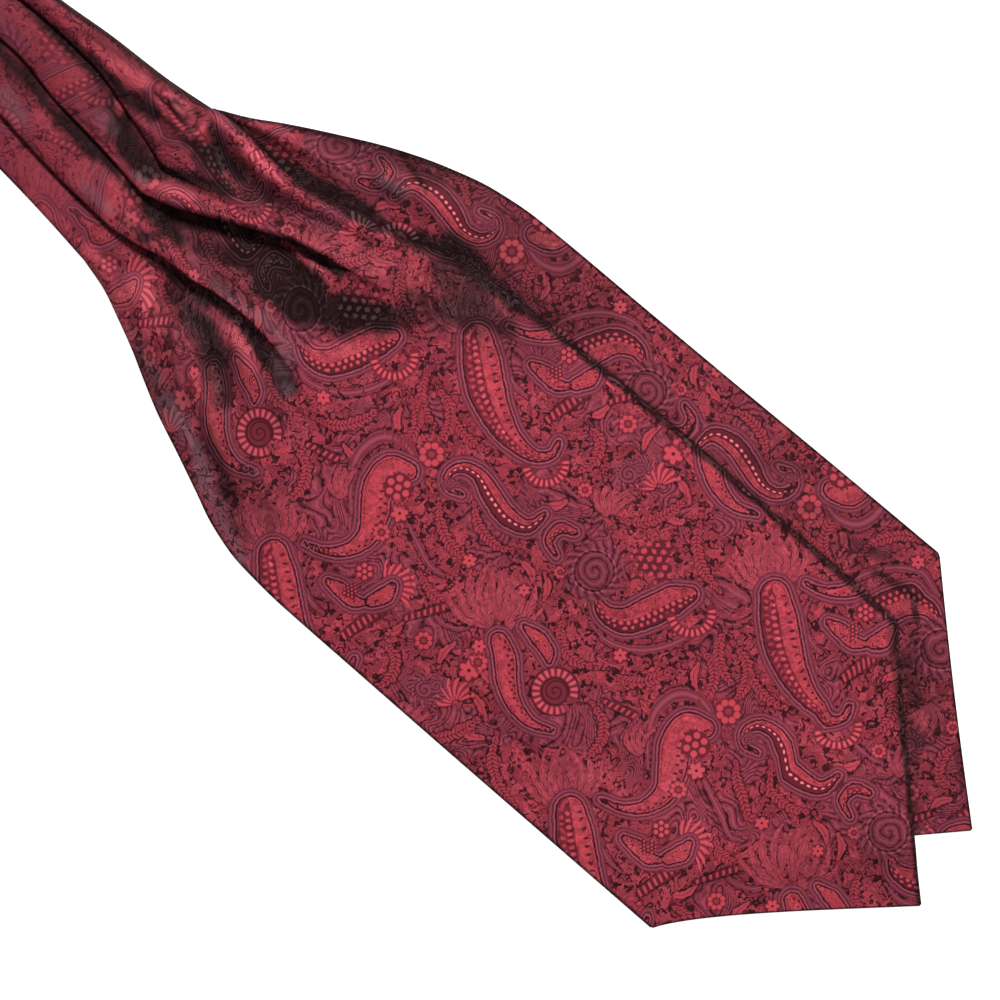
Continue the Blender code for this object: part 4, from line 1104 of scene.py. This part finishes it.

    # ---- painted shade: cloth in the depth of a fold, and along the turned edge, is painted charcoal as in shade
    painted_shade = Val(g, g.attr("painted_shade").outputs["Fac"])
    edge = Val(g, g.attr("edge").outputs["Fac"])
    painted_shadow = g.mix(painted_shade, 1.0, below(edge, 0.35, 1.2) * 0.9)
    # painted sheen: a pale violet reflection mixed into the colour
    painted_sheen = Val(g, g.attr("painted_sheen").outputs["Fac"])
    shade_colours = g.node("ShaderNodeValToRGB")
    ends = shade_colours.color_ramp.elements
    ends[0].position, ends[0].color = 0.34, (0.0016, 0.0014, 0.0016, 1)
    ends[1].position, ends[1].color = 0.86, (0.0480, 0.0330, 0.0360, 1)
    for p_, c_ in ((0.55, (0.0080, 0.0056, 0.0062, 1)), (0.66, (0.0260, 0.0180, 0.0195, 1))):
        ends.new(p_).color = c_
    tree.links.new(tone.sock, shade_colours.inputs[0])
    colour = g.node("ShaderNodeMix", data_type="RGBA")
    g.put(colour.inputs[0], painted_shadow)
    tree.links.new(weft.outputs[2], colour.inputs[6])
    tree.links.new(shade_colours.outputs[0], colour.inputs[7])
    painted_sheen_mix = g.node("ShaderNodeMix", data_type="RGBA")
    g.put(painted_sheen_mix.inputs[0], painted_sheen)
    tree.links.new(colour.outputs[2], painted_sheen_mix.inputs[6])
    sheen_colours = g.node("ShaderNodeMix", data_type="RGBA")
    tree.links.new(tone.sock, sheen_colours.inputs[0])
    sheen_colours.inputs[6].default_value = (0.030, 0.0150, 0.0210, 1)
    sheen_colours.inputs[7].default_value = (0.170, 0.0950, 0.1200, 1)
    tree.links.new(sheen_colours.outputs[2], painted_sheen_mix.inputs[7])

    # painted highlight: crests and spots of the satin mixed toward a bright red
    painted_highlight = Val(g, g.attr("painted_highlight").outputs["Fac"])
    painted_glint = g.node("ShaderNodeMix", data_type="RGBA")
    g.put(painted_glint.inputs[0], painted_highlight)
    tree.links.new(painted_sheen_mix.outputs[2], painted_glint.inputs[6])
    highlight_colours = g.node("ShaderNodeValToRGB")
    ends = highlight_colours.color_ramp.elements
    ends[0].position, ends[0].color = 0.20, (0.120, 0.0120, 0.0190, 1)
    ends[1].position, ends[1].color = 0.80, (0.620, 0.1500, 0.1900, 1)
    ends.new(0.5).color = (0.400, 0.0560, 0.0780, 1)
    tree.links.new(tone.sock, highlight_colours.inputs[0])
    tree.links.new(highlight_colours.outputs[0], painted_glint.inputs[7])

    # ---- weave: fine twill, and the figure stands a little proud of the ground
    twill = g.math("SINE", (px + py) * 2.1) * 0.5 + g.math("SINE", (px - py) * 1.3) * 0.2
    height = figure * 0.5 + twill * 0.10
    bump = g.node("ShaderNodeBump")
    bump.inputs["Strength"].default_value = 0.28
    bump.inputs["Distance"].default_value = 0.00012
    g.put(bump.inputs["Height"], height)

    rough = 0.52 - g.smooth(0.45, 0.95, tone) * 0.14 + (n4 - 0.5) * 0.10 + painted_shadow * 0.30
    bsdf = g.node("ShaderNodeBsdfPrincipled")
    out = g.node("ShaderNodeOutputMaterial")
    tree.links.new(painted_glint.outputs[2], bsdf.inputs["Base Color"])
    g.put(bsdf.inputs["Roughness"], rough)
    tree.links.new(bump.outputs[0], bsdf.inputs["Normal"])
    bsdf.inputs["Metallic"].default_value = 0.0
    bsdf.inputs["Specular IOR Level"].default_value = 0.20
    bsdf.inputs["Specular Tint"].default_value = (1.0, 0.28, 0.34, 1)
    bsdf.inputs["Sheen Weight"].default_value = 0.05
    bsdf.inputs["Sheen Roughness"].default_value = 0.35
    bsdf.inputs["Sheen Tint"].default_value = (0.62, 0.20, 0.27, 1)
    tree.links.new(bsdf.outputs[0], out.inputs[0])
    return mat


def fold_shade(p, normal, radius_mm=7.0):
    """Painted shade, 0 on open cloth to 1 in the bottom of a fold: how far the cloth lies below
    what is near it across the section, and how far it leans away from the light, to the lower side."""
    n, m = p.shape[:2]
    y, z = p[:, :, 1], p[:, :, 2]
    above = np.zeros((n, m))
    for k in range(1, 15):
        for sgn in (-1, 1):
            j = np.clip(np.arange(m) + sgn * k, 0, m - 1)
            dy = np.abs(y[:, j] - y)
            dz = z[:, j] - z
            rise = np.clip(dz - 0.25, 0, None) / (dy + 1.2) * (dy < radius_mm)
            above = np.maximum(above, rise * (1.0 if sgn < 0 else 0.75))
    lean = np.clip(-normal[:, :, 1] - 0.12, 0, 1)
    d = np.clip(above * 0.85, 0, 1) * 0.8 + np.clip(lean * 0.9, 0, 0.6)
    # smooth along the length
    for _ in range(3):
        d[1:-1] = 0.25 * d[:-2] + 0.5 * d[1:-1] + 0.25 * d[2:]
        d[:, 1:-1] = 0.25 * d[:, :-2] + 0.5 * d[:, 1:-1] + 0.25 * d[:, 2:]
    return np.clip(d, 0, 1)


def patches(x, y, rows):
    """Soft streaks over the cloth from listed rows, 0 to 1."""
    d = np.zeros_like(x)
    for x0, y0, x1, y1, width, strength in rows:
        dx, dy = x1 - x0, y1 - y0
        length = math.hypot(dx, dy)
        s = ((x - x0) * dx + (y - y0) * dy) / length
        t = ((x - x0) * dy - (y - y0) * dx) / length
        over = np.maximum(np.maximum(-s, s - length), 0.0)
        r = np.hypot(t, over) / width
        d = 1 - (1 - d) * (1 - strength * (1 - step(0.45, 1.45, r)))
    return d


def fold_lines(x, y, xs, crests):
    """The painted shadow line under each fold's edge and the painted highlight along its crest."""
    first = np.concatenate([[0], np.cumsum(FRONT_COUNTS)])
    painted_shadow, painted_highlight = np.zeros_like(x), np.zeros_like(x)
    wave = ripple(x, y * 0, 41, 15.0)
    for k, (rows, crest) in enumerate(zip(FOLD_LIGHT_LINES, crests)):
        strength, width, painted_glint = lines(rows, xs).T[:, :, None]
        top, foot = first[5 + 7 * k], first[5 + 7 * k]
        end = first[min(11 + 7 * k, 24)] if k < 2 else first[25]
        away = crest[:, None] - y
        w = width * (1.0 + 0.55 * wave)
        part = strength * (1 - step(0.4 * w, 1.6 * w, away))
        part[:, :foot + 1] = 0
        part[:, end:] = 0
        painted_shadow = np.maximum(painted_shadow, part)
        part = painted_glint * np.exp(-((away + 0.35) / 0.55) ** 2) * (0.75 + 0.35 * wave)
        part[:, :max(first[3 + 7 * k], 0)] = 0
        part[:, top + 1:] = 0
        painted_highlight = np.maximum(painted_highlight, part)
    # painted shade along the turned edge of the first pleat: a thin line inside it and a dark band at the rim
    s = y[:, :1] - y
    inner = np.exp(-((s - 3.9 - 0.5 * wave) / 0.45) ** 2) * 0.6
    inner *= step(-262, -246, x) * (1 - step(-192, -182, x))
    inner[:, first[4]:] = 0
    painted_shadow = np.maximum(painted_shadow, inner)
    rim = y[:, :first[4]].max(axis=1)[:, None] - y
    rim = 0.95 * (1 - step(1.7, 2.9, rim - 0.5 * wave)) * (1 - step(-186, -178, x))
    rim[:, first[4]:] = 0
    painted_shadow = np.maximum(painted_shadow, rim)
    return painted_shadow, painted_highlight


def build_front():
    xs = stations([(-355.8, -230, 2.0), (-230, -60, 1.15), (-60, 140, 1.7),
                   (140, POINT_F - 3, 1.25), (POINT_F - 3, POINT_F - 0.5, 0.6)])
    c, crests = front_controls(xs)
    yz = catmull(c, FRONT_COUNTS)
    y, z = yz[:, :, 0], yz[:, :, 1]
    x = np.repeat(xs[:, None], y.shape[1], axis=1)
    # the grid keeps its order across: a top layer may lie over a tuck, but no column jumps
    z = z + crease_height(x, y, CREASES)
    calm = step(-90, -30, x)
    z = z + 0.22 * calm * (ripple(x, y, 3, 60.0) + 0.6) * step(0, 14, np.minimum(y - y[:, -1:], y[:, :1] - y))
    z = z + 0.16 * (1 - calm) * ripple(x, y, 5, 22.0)
    z = np.maximum(z, 0.0)
    z = z + rest_height(x, y) + THICK / 2
    p = np.stack([x, y, z], axis=-1)
    return p, fold_lines(x, y, xs, crests)


def build_back():
    """The back blade, from the neck to its point."""
    xs = stations([(-181.7, -60, 2.0), (-60, 140, 3.0), (140, POINT_B - 3, 1.6),
                   (POINT_B - 3, POINT_B - 0.5, 0.6)])
    r, l = outline(BACK_RIGHT, BACK_LEFT, POINT_B, POINT_BY, xs)
    front_r = lines(FRONT_RIGHT, xs)[:, 0]
    cols = 96
    t = np.linspace(0, 1, cols)
    near = 0.45 * t + 0.55 * t ** 2.0
    y = r[:, None] + (l - r)[:, None] * near[None, :]
    x = np.repeat(xs[:, None], cols, axis=1)
    show = np.clip((r - front_r)[:, None], 1, None)
    part = (r[:, None] - y) / show
    fade = (step(-181, -166, x) * (1 - step(-95, -50, x)))
    z = fade * 2.2 * np.where(part < 1, np.sin(math.pi * np.clip(part * 1.15, 0, 1)) ** 2, 0)
    open_cloth = np.clip((y - front_r[:, None] + 1.0) / 4.0, 0, 1)
    z = z + crease_height(x, y, BACK_CREASES) * open_cloth
    z = z + 0.18 * (ripple(x, y, 9, 50.0) + 0.5) * step(4, 16, r[:, None] - y) * open_cloth
    z = np.maximum(z, 0.0) + THICK / 2
    return xs, np.stack([x, y, z], axis=-1)


def cloth_coordinates(p, middle):
    """Flat cut of the cloth: along, and across from its right edge by its own length."""
    s = section_length(p)
    total = s[:, -1:]
    u = (total / 2 - s) + middle
    return p[:, :, 0].copy(), u


def beside_front(p):
    """On the back cloth: a painted shadow line where the front blade's edge lies on it."""
    x, y = p[:, :, 0], p[:, :, 1]
    r, l = outline(FRONT_RIGHT, FRONT_LEFT, POINT_F, POINT_FY, x[:, 0])
    away = y - r[:, None]
    wide = 1.6 + 0.6 * ripple(x, y * 0, 31, 13.0)
    line = 1 - step(0.5 * wide, 1.4 * wide, np.abs(away))
    return line


def finish_cloth(name, p, middle, turned=None, material=None, contact=None, overall_shade=0.0, painted_light=None):
    normal = grid_normals(p)
    if normal[:, :, 2].mean() < 0:
        normal = -normal
    v, u = cloth_coordinates(p, middle)
    layers, plan = pattern_layers(v, u, turned)
    wavy_x = p[:, :, 0] + 0.9 * ripple(p[:, :, 0], p[:, :, 1], 21, 7.0)
    # painted shade: the hollows of the folds and the listed charcoal patches
    painted_shade = 0.55 * fold_shade(p, normal)
    painted_shade = 1 - (1 - painted_shade) * (1 - patches(wavy_x, p[:, :, 1] + 0.9 * ripple(
        p[:, :, 0], p[:, :, 1], 22, 8.0), PAINTED_SHADES))
    if contact is not None:
        painted_shade = np.maximum(painted_shade, contact(p))
    # painted shade, darker over the folded cloth near the neck and, by the given amount, over a whole sheet
    fold_zone_shade = 0.19 * (1 - step(-130, -70, p[:, :, 0])) * (painted_light is not None)
    painted_shade = 1 - (1 - painted_shade) * (1 - overall_shade - fold_zone_shade)
    # painted highlights, kept on the front only
    painted_highlight = patches(wavy_x, p[:, :, 1], PAINTED_HIGHLIGHTS)
    if painted_light is not None:
        painted_shade = np.maximum(painted_shade, painted_light[0])
        painted_highlight = np.maximum(painted_highlight, painted_light[1])
    else:
        painted_highlight = painted_highlight * 0
    # painted sheen
    painted_sheen = patches(p[:, :, 0], p[:, :, 1], PAINTED_SHEENS)
    s = section_length(p)
    # the painted dark edge is wider along the right edge: on the front where it lies on the back blade, on the back
    # towards the neck
    heavy = 1.0 + (1.5 + 0.9 * ripple(p[:, :, 0], p[:, :, 1] * 0, 33, 13.0)) * step(-112, -96, p[:, :, 0]) * (painted_light is not None)
    if painted_light is None:
        heavy = 1.0 + 1.4 * (1 - step(-110, -70, p[:, :, 0]))
    edge = np.minimum(s / heavy, s[:, -1:] - s)
    quiet = 0.5 * (1 - step(-215, -120, p[:, :, 0]))
    attrs = {"motif_a": layers[0], "motif_b": layers[1], "motif_c": layers[2],
             "motif_d": layers[3], "painted_sheen": painted_sheen, "plan": plan, "painted_shade": painted_shade, "edge": edge,
             "painted_highlight": painted_highlight, "quiet": quiet}
    ob = sheet_mesh(name, p, normal, THICK, attrs)
    ob.data.materials.append(material)
    return ob, p


silk = silk_material("paisley_silk")

front_p, painted_light = build_front()
front, _ = finish_cloth("front_cloth", front_p, middle=-10.8, material=silk, painted_light=painted_light)
xs_b, back_p = build_back()
back, _ = finish_cloth("back_cloth", back_p, middle=21.2, turned=(1243.0, 959.0), material=silk,
                       contact=beside_front, overall_shade=0.16)


# ------------------------------------------------- the back neck and the neck's turn
def layered_side(right, left, low, high, notch):
    """Cross-section of the pressed pleats: layers that show as rolls at each side."""
    pts = []
    layers = 3
    pitch = (high - low) / layers
    for k in range(layers):
        for a in np.linspace(-90, 90, 7):
            pts.append((right - notch + notch * math.cos(math.radians(a)),
                        low + pitch * (k + 0.5) + 0.48 * pitch * math.sin(math.radians(a))))
    top = [(mix(right - notch, left + notch, t), high) for t in np.linspace(0.04, 0.96, 24)]
    side = []
    for k in reversed(range(layers)):
        for a in np.linspace(90, 270, 7):
            side.append((left + notch + notch * math.cos(math.radians(a)),
                         low + pitch * (k + 0.5) + 0.48 * pitch * math.sin(math.radians(a))))
    bottom = [(mix(left + notch, right - notch, t), low) for t in np.linspace(0.04, 0.96, 24)]
    return np.array(pts + top + side + bottom)


def tube_mesh(name, rings, material, along, across=None, painted_light=None):
    """A closed solid through rings of the same number of points, ends capped."""
    rings = np.asarray(rings)
    n, m = rings.shape[:2]
    verts = rings.reshape(-1, 3) * MM
    verts[:, 0] += PLAN_X * MM
    verts[:, 1] += PLAN_Y * MM
    verts[:, 2] = np.maximum(verts[:, 2], 0.00002)
    faces = []
    for i in range(n - 1):
        for j in range(m):
            a, b = i * m + j, i * m + (j + 1) % m
            faces.append((a, a + m, b + m, b))
    faces.append(tuple(range(m)))
    faces.append(tuple(range((n - 1) * m, n * m))[::-1])
    mesh = bpy.data.meshes.new(name)
    mesh.from_pydata(verts.tolist(), [], faces)
    import bmesh
    bm = bmesh.new()
    bm.from_mesh(mesh)
    bmesh.ops.recalc_face_normals(bm, faces=bm.faces)
    bm.to_mesh(mesh)
    bm.free()
    # flat cloth coordinates: round the section and along the path
    d = np.linalg.norm(np.diff(rings, axis=1, append=rings[:, :1]), axis=2)
    around = np.concatenate([np.zeros((n, 1)), np.cumsum(d, axis=1)[:, :-1]], axis=1)
    v = np.repeat(np.asarray(along)[:, None], m, axis=1)
    u = 40.0 - around if across is None else np.repeat(np.asarray(across)[None, :], n, axis=0)
    layers, plan = pattern_layers(v, u)
    # painted shade (0.2 unless given) and painted highlight (none unless given)
    shade_amount, painted_glint = painted_light if painted_light is not None else (np.full((n, m), 0.2), np.zeros((n, m)))
    for key, value in zip(("motif_a", "motif_b", "motif_c", "motif_d"), layers):
        at = mesh.attributes.new(key, "FLOAT_COLOR", "POINT")
        at.data.foreach_set("color", value.reshape(-1, 4).ravel().astype(np.float32))
    at = mesh.attributes.new("plan", "FLOAT_VECTOR", "POINT")
    at.data.foreach_set("vector", plan.reshape(-1, 3).ravel().astype(np.float32))
    for key, val in (("painted_shade", shade_amount), ("edge", 9.0), ("side", 0.0), ("painted_sheen", 0.0),
                     ("painted_highlight", painted_glint), ("quiet", 0.5)):
        at = mesh.attributes.new(key, "FLOAT", "POINT")
        at.data.foreach_set("value", (np.zeros((n, m)) + val).ravel().astype(np.float32))
    mesh.shade_smooth()
    mesh.set_sharp_from_angle(angle=math.radians(40))
    ob = bpy.data.objects.new(name, mesh)
    bpy.context.scene.collection.objects.link(ob)
    mesh.materials.append(material)
    return ob


neck_xs = stations([(FOLD_START + 0.2, RELEASE - 0.3, 2.2)])
neck_rows = lines(NECK, neck_xs)
rings = []
for xx, row in zip(neck_xs, neck_rows):
    sec = layered_side(row[0] + 0.3, row[4] + 1.2, 0.0, BACK_STACK, 1.1)
    rings.append(np.stack([np.full(len(sec), xx), sec[:, 0], sec[:, 1]], axis=1))
# painted shade, darker on the rolled sides of the pressed layers
shade = np.full((len(rings), len(rings[0])), 0.3)
shade[:, :21] = shade[:, 45:66] = 0.85
back_neck = tube_mesh("back_neck_cloth", rings, silk, neck_xs, None, (shade, 0.0 * shade))

# the turn: the front's pleats run on round the bend and flatten out underneath
first_row = front_p[0]
first_u = cloth_coordinates(front_p, -10.8)[1][0]
row = lines(NECK, [FOLD_START])[0]
TURN_RIGHT, TURN_LEFT = row[0] - 0.2, row[4] + 0.2
across_y = np.linspace(TURN_RIGHT - 0.5, TURN_LEFT + 0.5, 110)
seg0, seg1 = first_row[:-1], first_row[1:]
top_z, top_u = [], []
for yy in across_y:
    run = seg1[:, 1] - seg0[:, 1]
    t_ = np.where(np.abs(run) > 1e-6, (yy - seg0[:, 1]) / np.where(np.abs(run) > 1e-6, run, 1), -1)
    hit = (t_ >= 0) & (t_ <= 1)
    zz = np.where(hit, seg0[:, 2] + (seg1[:, 2] - seg0[:, 2]) * t_, -1.0)
    k = int(np.argmax(zz))
    top_z.append(zz[k] + THICK / 2)
    top_u.append(first_u[k] + (first_u[k + 1] - first_u[k]) * t_[k])
top_z, top_u = np.array(top_z), np.array(top_u)

r_mid = (BACK_STACK + 0.6) / 2
half = BACK_STACK / 2
mid_z = half + 2 * r_mid
top_h = np.maximum(top_z - mid_z, -1.0)
dip = np.clip((np.convolve(np.pad(top_h, 6, mode="edge"), np.ones(13) / 13, "valid") - top_h) / 1.2, 0, 1)
reach = (FOLD_START + 364.4) - (r_mid + half)


def turn_section(s):
    """Across the turn: the pleats' upper line, the rolled layers at its sides, a flat inside."""
    up = mix(top_h, np.full_like(top_h, half), s)
    # painted shade: darker where the rolled layers meet, in the dips of the pleats' upper line, and underneath
    pts, us, shade_amount = [], [], []
    for k in range(3):
        for a in np.linspace(-80, 80, 6):
            q = (k + 0.5) / 3 + 0.48 / 3 * math.sin(math.radians(a))
            pts.append((TURN_RIGHT - 1.1 + 1.1 * math.cos(math.radians(a)), mix(-half, up[0], q)))
            us.append(top_u[0] + 5.0 * (1 - q))
            shade_amount.append(0.55 if abs(a) > 70 else 0.2)
    for yy, hh, uu, dd in zip(across_y, up, top_u, dip):
        pts.append((yy, hh))
        us.append(uu)
        shade_amount.append(0.2 + 0.8 * dd * (1 - s))
    for k in reversed(range(3)):
        for a in np.linspace(100, 260, 6):
            q = (k + 0.5) / 3 + 0.48 / 3 * math.sin(math.radians(a))
            pts.append((TURN_LEFT + 1.1 + 1.1 * math.cos(math.radians(a)), mix(-half, up[-1], q)))
            us.append(top_u[-1] - 5.0 * (1 - q))
            shade_amount.append(0.55 if abs(a - 180) > 70 else 0.2)
    for yy in np.linspace(TURN_LEFT + 2.4, TURN_RIGHT - 2.4, 24):
        pts.append((yy, -half))
        us.append(yy - 60.0)
        shade_amount.append(0.4)
    return np.array(pts), us, shade_amount


path = [(FOLD_START + 0.3, mid_z, 0.0, 1.0, 0.0), (FOLD_START - reach * 0.5, mid_z, 0.0, 1.0, 0.0)]
for k in range(0, 25):
    a = math.pi * k / 24
    path.append((FOLD_START - reach - r_mid * math.sin(a), half + r_mid + r_mid * math.cos(a),
                 -math.sin(a), math.cos(a), float(step(0.1, 0.9, k / 24))))
path += [(FOLD_START - reach * 0.5, half, 0.0, -1.0, 1.0), (FOLD_START, half, 0.0, -1.0, 1.0)]
rings, along, shade_amounts = [], [], []
dist = 0.0
for k, (px_, pz_, nx_, nz_, s_) in enumerate(path):
    sec, us, shade_amount = turn_section(s_)
    if k:
        outer = half if k > 2 else 0.0
        dist += math.hypot(px_ - path[k - 1][0], pz_ - path[k - 1][1]) * (2.0 if outer else 1.0)
    rings.append(np.stack([px_ + nx_ * sec[:, 1], sec[:, 0], pz_ + nz_ * sec[:, 1]], axis=1))
    along.append(FOLD_START - dist)
    shade_amounts.append(shade_amount)
turn = tube_mesh("neck_turn_cloth", rings, silk, along, us, (np.array(shade_amounts), 0.0 * np.array(shade_amounts)))

# ----------------------------------------------------------------- riding and cut sizes
for ob in (front, back, back_neck, turn):
    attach(ob, "root")
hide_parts("front_blade", "front_pleat_1", "front_pleat_2", "front_pleat_3", "front_pleat_4")
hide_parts("back_blade")
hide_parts("back_neck")
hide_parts("neck_fold")


def flat_area(p):
    a = p[1:, :-1] - p[:-1, :-1]
    b = p[:-1, 1:] - p[:-1, :-1]
    return float(np.linalg.norm(np.cross(a, b), axis=2).sum()) * 1e-6


print("sheet areas", flat_area(front_p), flat_area(back_p))
print("triangles", sum(len(p.vertices) - 2 for p in front.data.polygons),
      sum(len(p.vertices) - 2 for p in back.data.polygons))

# -------------------------------------------------------------------- floor and light
floor_mesh = bpy.data.meshes.new("floor")
S = 3.0
floor_mesh.from_pydata([(-S, -S, 0), (S, -S, 0), (S, S, 0), (-S, S, 0)], [], [(0, 1, 2, 3)])
floor = bpy.data.objects.new("floor", floor_mesh)
floor.location = (0, 0, -0.0002)
bpy.context.scene.collection.objects.link(floor)
fmat = bpy.data.materials.new("floor_white")
fmat.use_nodes = True
fb = fmat.node_tree.nodes["Principled BSDF"]
fb.inputs["Base Color"].default_value = (0.30, 0.30, 0.30, 1)
fb.inputs["Roughness"].default_value = 0.9
fb.inputs["Specular IOR Level"].default_value = 0.1
fb.inputs["Emission Color"].default_value = (1.0, 1.0, 1.0, 1)
fb.inputs["Emission Strength"].default_value = 0.96
floor_mesh.materials.append(fmat)

scene = bpy.context.scene
world = bpy.data.worlds.new("studio")
world.use_nodes = True
world.node_tree.nodes["Background"].inputs[0].default_value = (1.0, 0.99, 0.99, 1)
world.node_tree.nodes["Background"].inputs[1].default_value = 0.22
scene.world = world
scene.view_settings.view_transform = "Standard"
scene.view_settings.look = "None"
scene.view_settings.exposure = 0.0
scene.view_settings.gamma = 1.0


def area_light(name, place, aim, size, power, colour=(1, 1, 1)):
    data = bpy.data.lights.new(name, "AREA")
    data.shape = "RECTANGLE"
    data.size, data.size_y = size
    data.energy = power
    data.color = colour
    ob = bpy.data.objects.new(name, data)
    ob.location = place
    ob.rotation_euler = (Vector(aim) - Vector(place)).to_track_quat("-Z", "Y").to_euler()
    scene.collection.objects.link(ob)
    return ob


centre = Vector((PLAN_X * MM, PLAN_Y * MM, 0))
# across the cloth from the side where the back blade shows
area_light("key", centre + Vector((-0.30, 1.22, 1.30)), centre, (0.8, 0.4), 57.0, (1.0, 0.985, 0.97))
area_light("fill", centre + Vector((0.5, -0.9, 1.9)), centre, (1.6, 1.2), 7.0, (0.97, 0.98, 1.0))

cam_data = bpy.data.cameras.new("camera")
cam_data.lens = 85.0
cam_data.sensor_width = 36.0
cam_data.clip_start = 0.05
cam = bpy.data.objects.new("camera", cam_data)
scene.collection.objects.link(cam)
DIST = 0.3876 / (36.0 / 85.0)
turn_z = math.atan2(0.656, 0.755)
cam.matrix_world = (Matrix.Translation(centre + Vector((0, 0, DIST)))
                    @ Matrix.Rotation(turn_z, 4, "Z"))
scene.camera = cam
